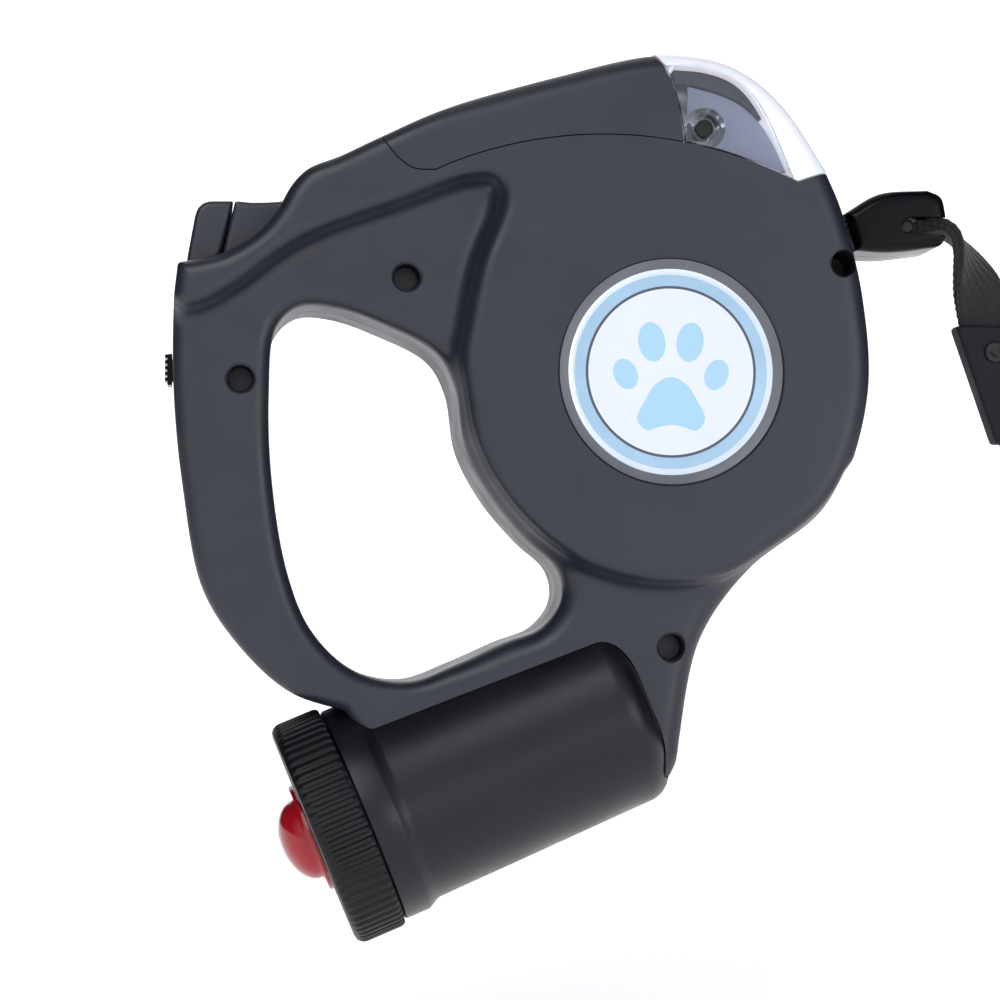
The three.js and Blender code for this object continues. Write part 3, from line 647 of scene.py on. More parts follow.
@dataclass(frozen=True)
class Brushed(Finish):
    """Metal or film with fine lines running one way, which draw the highlight out across them."""

    stretch: Triple = (1.0, 1.0, 0.04)

    def dress(self, tree: bpy.types.NodeTree, shader: bpy.types.Node) -> None:
        """Feeds the shader its lines.

        Args:
            tree: the material's nodes.
            shader: the shader.
        """
        drawn = node(tree, "ShaderNodeMapping", {"Vector": self.place(tree), "Scale": self.stretch})
        lines = node(tree, "ShaderNodeTexNoise", {
            "Vector": drawn.outputs[0], "Scale": 1000 / self.grain_mm, "Detail": 3.0, "Roughness": 0.6,
        })
        tree.links.new(self.toned(tree, lines.outputs[0]), shader.inputs["Base Color"])
        tree.links.new(self.gloss(tree, lines.outputs[0]), shader.inputs["Roughness"])
        tree.links.new(self.raised(tree, lines.outputs[0], self.grain_depth), shader.inputs["Normal"])


# ABS from a spark-eroded mould: a fine even grain, which breaks the sheen into a soft grey bloom.
CASE_ABS = Finish("abs_moulded_grained", "#21242f", 0.40, ior=1.53, grain_mm=0.7, grain_depth=0.018)
# The same ABS from a smoother insert: it takes a longer, cleaner highlight.
BARREL_ABS = Finish("abs_moulded_satin", "#101219", 0.30, ior=1.42, grain_mm=0.9, grain_depth=0.010)
# Polished acetal: near black, with sharp highlights.
STOPPER_ACETAL = Finish("acetal_polished", "#060709", 0.20, ior=1.24, grain_depth=0.003, uneven=0.05)
# Acetal straight from a textured mould, for the sleeve on the strap: dark, with hardly any shine.
SLEEVE_ACETAL = Finish("acetal_moulded_matt", "#17181f", 0.62, ior=1.30, grain_mm=0.8, grain_depth=0.012)
# Polypropylene with a dull skin, for the ribbed cap.
CAP_PP = Finish("polypropylene_dull", "#090a0e", 0.44, ior=1.38, grain_depth=0.014)
# Natural grey acetal, for the working pieces inside.
SPOOL_ACETAL = Finish("acetal_grey", "#6f7278", 0.5, ior=1.48, grain_depth=0.01)
# Clear polycarbonate: bright edges, and what lies behind it seen a little softened.
LENS_PC = Finish("polycarbonate_clear", "#eef1f8", 0.05, ior=1.585, grain_depth=0.002,
                 uneven=0.03, shade=0.02,
                 sockets=(("Transmission Weight", 1.0),))
# The same polycarbonate frosted inside: the bright strip along the nose, with a weak painted glow (emission)
# standing in for daylight coming through it.
LENS_FROSTED = Finish("polycarbonate_frosted", "#e6ebf6", 0.22, ior=1.585, grain_depth=0.002,
                      uneven=0.03, shade=0.02,
                      sockets=(("Subsurface Weight", 0.2), ("Subsurface Scale", 0.003),
                               ("Emission Strength", 0.18)))
# Satin grey sheets under the dark arch, painted the light grey that the lit, milky far wall shows through the
# clear nose: painted light seen through the lens.
PANEL_PAINTED_SEE_THROUGH = Finish("panel_grey_painted_see_through_light", "#a6abc0", 0.38, ior=1.53, grain_depth=0.006, shade=0.04)
# Opal acrylic: white, with a painted glow (emission) standing in for the light coming through it from behind.
OPAL_ACRYLIC = Finish("acrylic_opal", "#eef1fb", 0.30, ior=1.49, grain_depth=0.004, shade=0.02,
                      sockets=(("Emission Strength", 0.6), ("Subsurface Weight", 0.2),
                               ("Subsurface Scale", 0.004)))
# Dark tinted ABS, vapour smooth, for the tray behind the lens.
TRAY_ABS = Finish("abs_tray_dark", "#1b1e2e", 0.22, ior=1.53, grain_depth=0.004)
# Printed polyester film, gloss laminated: it stays even and clean.
LABEL_WHITE = Finish("polyester_film_white", "#e4e9f3", 0.30, grain_depth=0.003, uneven=0.03, shade=0.015)
LABEL_BLUE = Finish("polyester_film_pale_blue", "#a9d3ea", 0.30, grain_depth=0.003, uneven=0.03, shade=0.015)
LABEL_LINE = Finish("polyester_film_grey", "#4c5462", 0.32, grain_depth=0.003, uneven=0.03, shade=0.015)
# Silver-white outer ring of the label: partly the film's own silver, partly a painted highlight, the bright
# crescent spread evenly all round.
LABEL_BORDER_SILVER_AND_HIGHLIGHT = Finish("polyester_film_silver_and_painted_highlight", "#dfe9f2", 0.22, metallic=0.35, grain_depth=0.003, shade=0.02)
LABEL_BEZEL = Finish("abs_bezel_grey", "#63666c", 0.35, grain_depth=0.006)
# Vacuum-metallised film under a pale blue print.
LABEL_FOIL = Finish("polyester_film_metallised", "#a9cbe3", 0.26, metallic=0.3,
                    grain_depth=0.0015, shade=0.05)
# Nickel-plated zinc: bright, a little soft, as cast and tumbled pieces are.
NICKEL = Finish("zinc_nickel_plated", "#c6c8cc", 0.20, metallic=1.0, grain_mm=2.0, grain_depth=0.012)
# Black oxide on steel, dull and set non-metallic: its near-black is partly the finish and partly painted shade
# at the foot of each screw well.
BLACK_OXIDE_AND_WELL_SHADE = Finish("steel_black_oxide_and_painted_well_shade", "#0e0f11", 0.55, metallic=0.0, grain_mm=0.4, grain_depth=0.01)
# Cold-drawn spring steel: fine lines along the wire.
SPRING_STEEL = Brushed("steel_cold_drawn", "#a9acb2", 0.28, metallic=1.0, grain_mm=0.4, grain_depth=0.006)
# Woven polyester: dull black threads with a dry sheen. The threads are drawn at their real spacing.
WEBBING = Woven("polyester_webbing", "#0b0c0e", 0.78, grain_mm=0.35, grain_depth=0.12,
                sockets=(("Sheen Weight", 0.25), ("Sheen Roughness", 0.5)))
# Glossy silicone, tinted through: deep red with a bright rim of light.
OUTLET_SILICONE = Finish("silicone_red", "#a30d1c", 0.16, ior=1.41, grain_depth=0.004, uneven=0.05,
                         sockets=(("Subsurface Weight", 0.15), ("Subsurface Scale", 0.003),
                                  ("Coat Weight", 0.4)))
# Nitrile rubber, matt.
SEAL_NITRILE = Finish("nitrile_matt", "#0f1012", 0.75, ior=1.52, grain_depth=0.02)
# Lacquered circuit board.
BOARD_LACQUER = Finish("circuit_board_lacquer", "#1d6b3a", 0.35, grain_mm=1.2, grain_depth=0.01)
# Shrink sleeve on a cell.
CELL_SLEEVE = Finish("cell_shrink_sleeve", "#3a6ea8", 0.28, metallic=0.0, grain_depth=0.004)
# Thin polythene film wound on a roll: drawn lines where the layers end.
BAG_FILM = Brushed("polythene_bag_film", "#2f6f5a", 0.40, grain_mm=0.6, grain_depth=0.03,
                   stretch=(1.0, 0.05, 1.0))
# Grey card, rough and fibrous.
GREY_CARD = Finish("card_grey", "#b8a78a", 0.9, grain_mm=0.5, grain_depth=0.04)

PLAIN_NODES = {
    "shell": CASE_ABS, "black_plastic": STOPPER_ACETAL, "grey_plastic": SPOOL_ACETAL, "label": LABEL_WHITE,
    "lens": LENS_PC, "white_plastic": OPAL_ACRYLIC, "steel": SPRING_STEEL, "board": BOARD_LACQUER,
    "cell": CELL_SLEEVE, "webbing": WEBBING, "red_rubber": OUTLET_SILICONE, "seal": SEAL_NITRILE,
    "film": BAG_FILM, "card": GREY_CARD,
}


def hand_in(
    piece: bpy.types.Object,
    name: str,
    finishes: Finish | Sequence[Finish],
    body: str,
    nodes: Iterable[str] = (),
    sharp: float = 32.0,
) -> bpy.types.Object:
    """Puts a finished piece in the frame: its place, finish, body and the CAD nodes it stands for.

    Args:
        piece: the piece, in millimetres about the axle.
        name: its name.
        finishes: its finish, or one for each of its faces' material numbers.
        body: the body it moves with.
        nodes: the CAD nodes that it replaces.
        sharp: the least turn between faces, in degrees, that stays a crisp edge.

    Returns:
        The piece.
    """
    piece.data.transform(DRUM)
    piece.name = piece.data.name = name
    numbers = [face.material_index for face in piece.data.polygons]
    piece.data.materials.clear()
    for finish in [finishes] if isinstance(finishes, Finish) else finishes:
        piece.data.materials.append(finish.material())
    if not isinstance(finishes, Finish):
        piece.data.polygons.foreach_set("material_index", numbers)
    piece.data.shade_smooth()
    piece.data.set_sharp_from_angle(angle=math.radians(sharp))
    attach(piece, body)
    nodes = list(nodes)
    if nodes:
        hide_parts(*nodes)
    LOG.info("%s: %d faces, with %s", name, len(piece.data.polygons), body)
    return piece


# ---- Case --------------------------------------------------------------------------------------

SEAM_GAP = 0.13  # half of the gap between mouldings that meet
SEAM_CENTRE = (-13.3, -42.2)  # the seam below the lamp is an arc about this place
SEAM_RADIUS = 94.7
NOSE_CREST = [(-4, 71), (7.4, 70.7), (16.7, 67.7), (26, 60), (36, 45.3)]


@dataclass
class CaseShape:
    """The outlines and levels that the case and the lamp share, in millimetres about the axle."""

    face: float = 22.0
    web: float = 15.5
    drum_radius: float = 46.6
    rim: float = 5.0
    crest_round: float = 2.9
    foot_round: float = 3.2
    silhouette: Region = field(init=False)
    raised: Region = field(init=False)
    step: Region = field(init=False)

    def __post_init__(self) -> None:
        """Samples the outlines."""
        self.silhouette = Region([self.outline(), self.finger_loop()])
        self.raised = Region([self.raised_outline()])
        self.step = Region([self.step_profile()], step=0.12)

    def crown(self) -> np.ndarray:
        """From the back of the grip, up past the thumb and over the lamp to its front edge."""
        return spline([
            (-105, 23.6), (-98.6, 25.3), (-91.4, 29.7), (-86.9, 35), (-84, 40.2), (-80.4, 44), (-73.3, 47),
            (-64.4, 51.4), (-48.9, 58.5), (-24.3, 66.1), *NOSE_CREST,
        ], 110)

    def outline(self) -> np.ndarray:
        """The whole case from the side."""
        back = spline([
            (-71.5, -75), (-83.5, -70.9), (-93.8, -61.8), (-102.8, -48.2), (-107.3, -26), (-109.4, -5),
            (-109.5, 14), (-108.6, 23),
        ], 50)
        front = spline([
            (36, 45.3), (39.4, 37.2), (44.3, 16.9), (45.1, -5.6), (36.9, -29), (19.4, -43.3), (8, -59.4),
            (3.3, -81.8), (2.6, -86.6), (0.6, -90.6),
        ], 70)
        return np.vstack([back, self.crown(), front[1:], [(-10, -84), (-60, -93)]])

    def finger_loop(self) -> np.ndarray:
        """The opening for the fingers."""
        return spline([
            (-81.9, 14.3), (-87, 9.5), (-88.5, -5), (-87.7, -25), (-84.2, -45), (-79, -57.3), (-69.9, -65.9),
            (-58, -68.5), (-47.2, -64.8), (-35.8, -59.8), (-27.8, -56.6), (-23.3, -50.2), (-24.4, -43.5),
            (-31.3, -37), (-39.2, -27.7), (-45.1, -16.4), (-47.4, -3), (-51.7, 4.5), (-63.1, 10.5),
            (-74, 14.2),
        ], 130, ring=True)

    def raised_outline(self) -> np.ndarray:
        """The drum and the ridge along the arm, run on past the case's own outline."""
        pocket = spline([
            (-46.3, 5), (-42.5, 23.6), (-37.6, 37.5), (-38.6, 42.4), (-44, 42.9), (-60.3, 37), (-82.2, 28.2),
            (-97.5, 17.2), (-103.8, 13.8), (-109, 13),
        ], 80)
        around = [(-120, 13), (-120, 95), (75, 95), (75, -24)]
        return np.vstack([arc((0, 0), self.drum_radius, -29, -183, 80), pocket, around])

    def step_profile(self) -> np.ndarray:
        """The case's thickness against the distance from the drum's edge, from its crest to its foot."""
        lean = 10.0
        crest = arc((-self.crest_round, self.face - self.crest_round), self.crest_round, 90, lean, 12)
        foot = arc((self.foot_round + 1.0, self.web + self.foot_round), self.foot_round, 180 + lean, 270, 12)
        top = np.vstack([[(-60, self.face)], crest, foot, [(60, self.web)]])
        return np.vstack([top, [(60, -40), (-60, -40)]])

    def outer(self, x: np.ndarray, y: np.ndarray, z: np.ndarray) -> np.ndarray:
        """The signed distance of the case's outer form, both halves and the lamp together.

        Args:
            x: places along the leash.
            y: places across it.
            z: places up it.

        Returns:
            The distances.
        """
        level = self.step.distance(np.clip(self.raised.distance(x, z), -50, 50), np.abs(y))
        rim = self.rim - 1.6 * (1 - smoothstep(x, -60, -35))
        return edge_round(level, self.silhouette.distance(x, z), rim)

    def lamp_room(self, grow: float) -> np.ndarray:
        """The room above the seam on which the lamp stands.

        Args:
            grow: how far its lower edge moves down.

        Returns:
            The room's outline.
        """
        rear = spline([(-67.4, 58), (-64.4, 51.4), (-61.2, 47), (-57.4, 44.2), (-52.4, 43.9)], 18)
        seat = arc(SEAM_CENTRE, SEAM_RADIUS, 113.6, 63.8, 60)
        seam = np.vstack([rear, seat[1:], [(36, 45.3), (55, 54.8)]])
        return np.vstack([moved(seam, grow), [(55, 95), (-67.4 - grow, 95)]])

    def nose(self, grow: float) -> np.ndarray:
        """All that stands in front of the joint between the lamp's cover and its lens.

        Args:
            grow: how far its rear edge moves back.

        Returns:
            Its outline.
        """
        rear = spline([(-5, 85), (-3.8, 72), (-1.3, 68), (1.4, 60.7), (3.1, 51), (3.4, 30)], 30)
        return np.vstack([moved(rear, grow), [(70, 30), (70, 85)]])


@dataclass
class Case:
    """The two halves of the case, cut from one hollow form."""

    shape: CaseShape
    screws: tuple[Pair, ...] = ((-58.2, 21.0), (-94.8, -1.9), (1.0, -61.0), (39.2, 24.7))
    wall: float = 2.6
    well: float = 3.0
    squares: float = 0.9

    def form(self, x: np.ndarray, y: np.ndarray, z: np.ndarray) -> np.ndarray:
        """The signed distance of the case with its screw posts.

        Args:
            x: places along the leash.
            y: places across it.
            z: places up it.

        Returns:
            The distances.
        """
        outer = self.shape.outer(x, y, z)
        whole = np.maximum(outer, -(outer + self.wall))
        for place in self.screws:
            post = np.hypot(x - place[0], z - place[1]) - self.well - 1.4
            whole = np.minimum(whole, np.maximum(post, outer + 0.5))
        return whole

    def cutters(self) -> list[bpy.types.Object]:
        """What is let into the case: the barrel, the thumb's controls, the label, the screws and the tape."""
        thumb_well = np.array([(-108, 12.2), (-107.4, 26), (-107.4, 60), (-83.8, 60), (-82.8, 39.4),
                               (-73, 39.4), (-73, 30), (-96, 12.2)])
        mouth = block((34, -9.3, 32.75), (48, 9.3, 38.55))
        slide_slot = block((-113, -2.3, -2.3), (-105, 2.3, 7.3))
        made = [barrel_room(), prism(thumb_well, -12.9, 12.9), mouth, slide_slot]
        for side in (-1, 1):
            made.append(turned([(0, side * 30), (25.5, side * 30), (25.5, side * 21.9), (25.2, side * 21.6),
                                (25.2, side * 20), (0, side * 20)], 128))
        for x, z in self.screws:
            place = crosswise(x, z)
            rim = -self.depth(x, z)
            made.append(turned([(0, -30), (self.well + 0.5, -30), (self.well + 0.5, rim),
                                (self.well, rim + 0.5), (self.well, -8), (1.8, -8), (1.8, 11), (0, 11)],
                               40, place))
        return made

    def depth(self, x: float, z: float) -> float:
        """How far from the parting plane the case's surface is at a place."""
        raised = float(self.shape.raised.distance(np.array([x]), np.array([z]))[0])
        return self.shape.face if raised < -3 else self.shape.web

    def build(self) -> None:
        """Makes both halves."""
        whole = skin(self.form, (-113, -25, -99), (51, 25, 78), self.squares)
        carve(whole, Cut.REMOVE, prism(self.shape.lamp_room(SEAM_GAP), -40, 40), *self.cutters())
        left = copied(whole)
        carve(whole, Cut.KEEP, block((-200, -60, -200), (200, -SEAM_GAP, 200)))
        carve(left, Cut.KEEP, block((-200, SEAM_GAP, -200), (200, 60, 200)))
        hand_in(whole, "case_right_half", CASE_ABS, "case", ["case_right"])
        hand_in(left, "case_left_half", CASE_ABS, "case", ["case_left"])


# ---- Lamp --------------------------------------------------------------------------------------


@dataclass
class Lamp:
    """The cover, the clear nose and what shows behind it."""

    shape: CaseShape
    screw: Pair = (7.9, 54.6)
    cover_wall: float = 2.2
    lens_wall: float = 1.5
    lens_pride: float = 0.25
    panel_side: float = 18.7
    panel_wall: float = 1.0
    squares: float = 0.8

    def half(self, wall: float, prouder: float = 0.0) -> bpy.types.Object:
        """A hollow shell of the case's form above the seam.

        Args:
            wall: the wall's thickness.
            prouder: how far it stands out from the case's own surface.

        Returns:
            The new object.
        """
        def form(x: np.ndarray, y: np.ndarray, z: np.ndarray) -> np.ndarray:
            """The signed distance of the lamp's hollow form."""
            outer = self.shape.outer(x, y, z) - prouder
            clear = np.maximum(outer, -(outer + wall))
            return np.maximum(clear, np.maximum(40.5 - z, -69.5 - x))

        body = skin(form, (-72, -25, 38), (50, 25, 80), self.squares)
        return carve(body, Cut.KEEP, prism(self.shape.lamp_room(-SEAM_GAP), -40, 40))

    def crest(self, depth: float, count: int = 40) -> np.ndarray:
        """The nose's crest from the joint to the front edge, at a depth below its surface."""
        return moved(spline(NOSE_CREST, count), depth)

    def build(self) -> None:
        """Makes the lamp's visible pieces."""
        cover = self.half(self.cover_wall)
        switch_slot = block((-11, -3.4, 60), (-5.4, 3.4, 80))
        carve(cover, Cut.REMOVE, prism(self.shape.nose(SEAM_GAP + 0.1), -30, 30), switch_slot)
        hand_in(cover, "lamp_cover_moulding", CASE_ABS, "case", ["lamp_cover"])

        place = crosswise(*self.screw)
        lens = self.half(self.lens_wall, self.lens_pride)
        carve(lens, Cut.KEEP, prism(self.shape.nose(-SEAM_GAP), -30, 30))
        carve(lens, Cut.JOIN, rod(4.3, -21.5, -14.5, 48, place))
        bore = turned([(0, -30), (2.9, -30), (2.9, -17.5), (1.6, -17.5), (1.6, -12), (0, -12)], 48, place)
        carve(lens, Cut.REMOVE, bore)
        strip = copied(lens)
        carve(strip, Cut.KEEP, prism(self.strip_room(), -40, 40))
        carve(lens, Cut.REMOVE, prism(self.strip_room(), -40, 40))
        hand_in(strip, "lamp_nose_strip", LENS_FROSTED, "case")
        hand_in(lens, "lamp_nose", LENS_PC, "case", ["lamp_lens"])
        self.build_inside()

    def strip_room(self) -> np.ndarray:
        """The outline of all that lies above and in front of the frosted strip's inner edge."""
        edge = spline([(-8, 68), (-0.1, 68.2), (5.5, 68.6), (9.7, 67.7), (14.1, 65.9), (17, 63.7), (20, 59.9),
                       (22.9, 54.6), (25.8, 47.8), (28.6, 41)], 60)
        return np.vstack([edge, [(70, 41), (70, 95), (-8, 95)]])

    def build_panels(self) -> None:
        """Makes the grey panels that close the lamp at both sides, under the dark arch; their grey is painted
        light, the lit milky far wall as seen through the clear nose.
        """
        arch = spline([(4.2, 64.0), (10.6, 62.4), (16, 60.1), (20.4, 56.2), (23.4, 51.6), (26.4, 45.2)], 24)
        seat = arc(SEAM_CENTRE, SEAM_RADIUS + 0.9, 65.5, 79.6, 20)
        outline = np.vstack([arch, seat[1:]])
        for side in (-1, 1):
            low, high = sorted((side * self.panel_side, side * (self.panel_side - self.panel_wall)))
            panel = prism(outline, low, high)
            carve(panel, Cut.REMOVE, rod(4.7, low - 1, high + 1, 48, crosswise(*self.screw)))
            hand_in(panel, f"lamp_panel_{'right' if side < 0 else 'left'}", PANEL_PAINTED_SEE_THROUGH, "case")

    def build_inside(self) -> None:
        """Makes the opal band, the dark tray behind it and the switch."""
        self.build_panels()
        crest = self.crest(2.1)
        crest = crest[(crest[:, 0] > 1.2) & (crest[:, 1] > 47.2)]
        inner = spline([(27, 46.4), (22.9, 54.6), (20, 59.9), (17, 63.7), (13.4, 66.2), (7.6, 67.8),
                        (1.6, 68.4)], 30)
        band = prism(np.vstack([crest, inner]), -19.6, 19.6)
        soften(band, 0.5)
        hand_in(band, "lamp_band", OPAL_ACRYLIC, "case", ["lamp_diffuser"])

        upper = spline([(0.8, 67.6), (7.6, 67.1), (13, 65.5), (16.5, 63.1), (19.4, 59.4), (20.9, 56.9)], 30)
        lower = spline([(20.1, 56.8), (16, 60.5), (10.6, 62.8), (5.2, 64.2), (1.2, 64.3)], 24)
        tray = prism(np.vstack([upper, lower]), -19.4, 19.4)
        soften(tray, 0.25)
        hand_in(tray, "lamp_tray", TRAY_ABS, "case", ["lamp_reflector"])

        knob = block((-8.4, -3, 66), (-6.0, 3, 71.7))
        carve(knob, Cut.JOIN, block((-10.8, -5, 65.4), (-5.2, 5, 66.5)))
        soften(knob, 0.25)
        hand_in(knob, "lamp_switch_knob", STOPPER_ACETAL, "lamp_switch", ["lamp_switch"])


# ---- Labels ------------------------------------------------------------------------------------


@dataclass
class Label:
    """A round printed label with a paw of plain ovals, in a sloped bezel.

    Each band has its inner and outer radius and its finish. Each toe has its middle, its half width, its half
    height and its turn in degrees.
    """

    side: int
    bands: tuple[tuple[float, float, Finish], ...] = (
        (0.0, 18.5, LABEL_WHITE), (18.5, 19.1, LABEL_LINE), (19.1, 21.6, LABEL_FOIL),
        (21.6, 22.9, LABEL_BORDER_SILVER_AND_HIGHLIGHT), (22.9, 25.0, LABEL_BEZEL),
    )
    toes: tuple[tuple[float, ...], ...] = (
        (-10.2, -0.6, 2.6, 3.5, 24), (-4.3, 6.6, 3.0, 4.4, 9),
        (4.3, 6.6, 3.0, 4.4, -9), (10.2, -0.6, 2.6, 3.5, -24),
    )
    front: float = 20.7
    rise: float = 0.9

    def pads(self) -> list[np.ndarray]:
        """The outlines of the paw's five pads."""
        made = []
        for x, z, wide, tall, turn in self.toes:
            angle = math.radians(turn)
            oval = arc((0, 0), 1, 0, 360, 49)[:-1] * (wide, tall)
            turned_to = np.array([[math.cos(angle), -math.sin(angle)], [math.sin(angle), math.cos(angle)]])
            made.append(oval @ turned_to.T + (x, z))
        heel = [(0, -1.2), (3.4, -2.8), (6.2, -7.0), (7.6, -10.6), (5.6, -13.0), (2.6, -12.2), (0, -11.8),
                (-2.6, -12.2), (-5.6, -13.0), (-7.6, -10.6), (-6.2, -7.0), (-3.4, -2.8)]
        made.append(spline(heel, 72, ring=True))
        return made

    def build(self) -> None:
        """Makes the label and its print."""
        rim = self.bands[-1][1]
        profile = [*[(band[0], self.front) for band in self.bands], (rim, self.front + self.rise),
                   (rim, self.front - 0.4), (0.0, self.front - 0.4)]
        disc = turned([(r, self.side * y) for r, y in profile], 128)
        for face in disc.data.polygons:
            reach = math.hypot(face.center.x, face.center.z)
            face.material_index = next(
                (i for i, band in enumerate(self.bands) if reach <= band[1]), len(self.bands) - 1)
        word = "right" if self.side < 0 else "left"
        hand_in(disc, f"label_{word}_disc", [band[2] for band in self.bands], "case", [f"label_{word}"])
        low, high = sorted((self.side * (self.front - 0.2), self.side * (self.front + 0.06)))
        paw = None
        for line in self.pads():
            pad = prism(line, low, high)
            paw = pad if paw is None else carve(paw, Cut.JOIN, pad)
        hand_in(paw, f"label_{word}_paw", LABEL_BLUE, "case")


# ---- Barrel ------------------------------------------------------------------------------------


def barrel_place() -> Matrix:
    """Where the barrel stands: its axis is y before it is placed, and the cap lies at negative y."""
    rise = math.radians(22.5)
    along = Vector((math.cos(rise), 0, math.sin(rise)))
    turn = Vector((0, 1, 0)).rotation_difference(along)
    return crosswise(-67.2, -98.9) @ turn.to_matrix().to_4x4()


def barrel_profile(grow: float) -> list[Pair]:
    """The barrel's outside from its collar to its closed end."""
    rounding = [(16.0 + (6.4 + grow) * math.cos(a), 61.6 + (6.4 + grow) * math.sin(a))
                for a in np.linspace(0, math.pi / 2, 14)]
    return [(25.0 + grow, 6.2), (24.6 + grow, 7.0), (23.7 + grow, 8.6), (23.5 + grow, 9.4), *rounding,
            (0.0, 68.0 + grow)]


def barrel_room() -> bpy.types.Object:
    """The room that the barrel takes up in the case."""
    return turned([(0, -20), (25.3, -20), *barrel_profile(0.2)], 128, barrel_place())


@dataclass
class Barrel:
    """The barrel for waste bags, its ribbed cap and the soft outlet."""

    ribs: int = 70
    rib_depth: float = 0.55
    cap_radius: float = 26.2
    cap_length: float = 11.6

    def build(self) -> None:
        """Makes the barrel and all that closes it."""
        inside = [(0.0, 65.2), (14.0, 65.2), (18.0, 64.0), (19.8, 61.2), (20.8, -8.0), (22.3, -8.0),
                  (22.3, 0.3), (24.6, 0.3), (25.0, 0.7)]
        body = turned([*inside, *barrel_profile(0)], 160, barrel_place())
        hand_in(body, "barrel_moulding", BARREL_ABS, "case", ["bag_barrel"], sharp=40)
        self.build_cap()
        self.build_outlet()
        ring = [(20.9, -8.9), (22.1, -8.9), (22.3, -8.6), (22.1, -8.3), (20.9, -8.3)]
        seal = turned(ring, 96, barrel_place())
        hand_in(seal, "cap_seal_ring", SEAL_NITRILE, "seal", ["cap_seal"])

    def build_cap(self) -> None:
        """Makes the cap: ribs round its side, and a plain rounded face with a shallow ring."""
        length, radius = self.cap_length, self.cap_radius
        outline = [(9.2, -9.3, 0), (9.2, -length, 0), (12.9, -length, 0), (13.1, -length + 0.5, 0),
                   (14.2, -length + 0.5, 0), (14.5, -length, 0), (radius - 2.2, -length, 0),
                   (radius - 1.2, -length + 0.25, 0), (radius - 0.5, -length + 0.9, 0.2),
                   (radius - 0.1, -length + 1.7, 0.7), (radius, -length + 2.4, 1), (radius, -1.0, 1),
                   (radius - 0.25, -0.35, 1), (radius - 0.6, 0, 0.6), (22.6, 0, 0), (22.6, -9.3, 0)]
        sides = self.ribs * 8
        wave = (0.0, 0.0, 0.12, 0.85, 1.0, 1.0, 0.85, 0.12)
        points = []
        for r, y, share in outline:
            for i in range(sides):
                reach = r - share * self.rib_depth * wave[i % 8]
                angle = 2 * math.pi * i / sides
                points.append((reach * math.cos(angle), y, reach * math.sin(angle)))
        rows = len(outline)
        faces = [(a * sides + i, a * sides + (i + 1) % sides, (a + 1) % rows * sides + (i + 1) % sides,
                  (a + 1) % rows * sides + i) for a in range(rows) for i in range(sides)]
        cap = mesh_of(np.array(points), faces)
        cap.data.transform(barrel_place())
        outward(cap)
        hand_in(cap, "cap_ribbed", CAP_PP, "cap", ["bag_cap"], sharp=28)

    def build_outlet(self) -> None:
        """Makes the soft dome that the bags are drawn through, with its slit."""
        face = -self.cap_length - 0.2
        foot, top = face - 1.4, math.pi / 2 - 0.05
        dome = [(9.25 * math.cos(a), foot - 5.8 * math.sin(a)) for a in np.linspace(0, top, 16)]
        hollow = [(7.4 * math.cos(a), foot - 4.3 * math.sin(a)) for a in np.linspace(top, 0, 14)]
        outlet = turned([(0, dome[-1][1]), *dome[::-1], (9.6, face - 1.0), (12.2, face - 0.9),
                         (12.5, face - 0.6), (12.5, face), (8.9, face), (8.9, -8.9), (11, -8.9), (11, -8.2),
                         (7.4, -8.2), *hollow[::-1], (0, hollow[0][1])], 128, barrel_place())
        slit = block((-0.16, face - 9, -4.6), (0.16, face - 3, 4.6))
        slit.data.transform(barrel_place())
        carve(outlet, Cut.REMOVE, slit)
        hand_in(outlet, "outlet_dome", OUTLET_SILICONE, "cap", ["bag_outlet"], sharp=40)


# ---- Tape end ----------------------------------------------------------------------------------

STRAP_LEAN = math.radians(19)
STRAP_BEND_END = np.array([78.5, 13.2])
STRAP_DOWN = np.array([math.sin(STRAP_LEAN), -math.cos(STRAP_LEAN)])
TAPE_LEVEL = 35.65


def cushioned(
    line: np.ndarray, half: float, radius: float, squares: float, corner: float = 0.0,
) -> bpy.types.Object:
    """A flat outline made thick, with its edges rounded.

    Args:
        line: the outline's points.
        half: half the thickness.
        radius: the edges' radius.
        squares: the size of the mesh's squares.
        corner: how far the outline is grown, which rounds its own corners.

    Returns:
        The new object.
    """
    region = Region([line], margin=corner + 3, step=squares / 2)

    def form(x: np.ndarray, y: np.ndarray, z: np.ndarray) -> np.ndarray:
        """The signed distance of the thick outline."""
        return edge_round(region.distance(x, z) - corner, np.abs(y) - half, radius)

    low, high = line.min(0) - corner - 1.5, line.max(0) + corner + 1.5
    return skin(form, (low[0], -half - 1.5, low[1]), (high[0], half + 1.5, high[1]), squares)


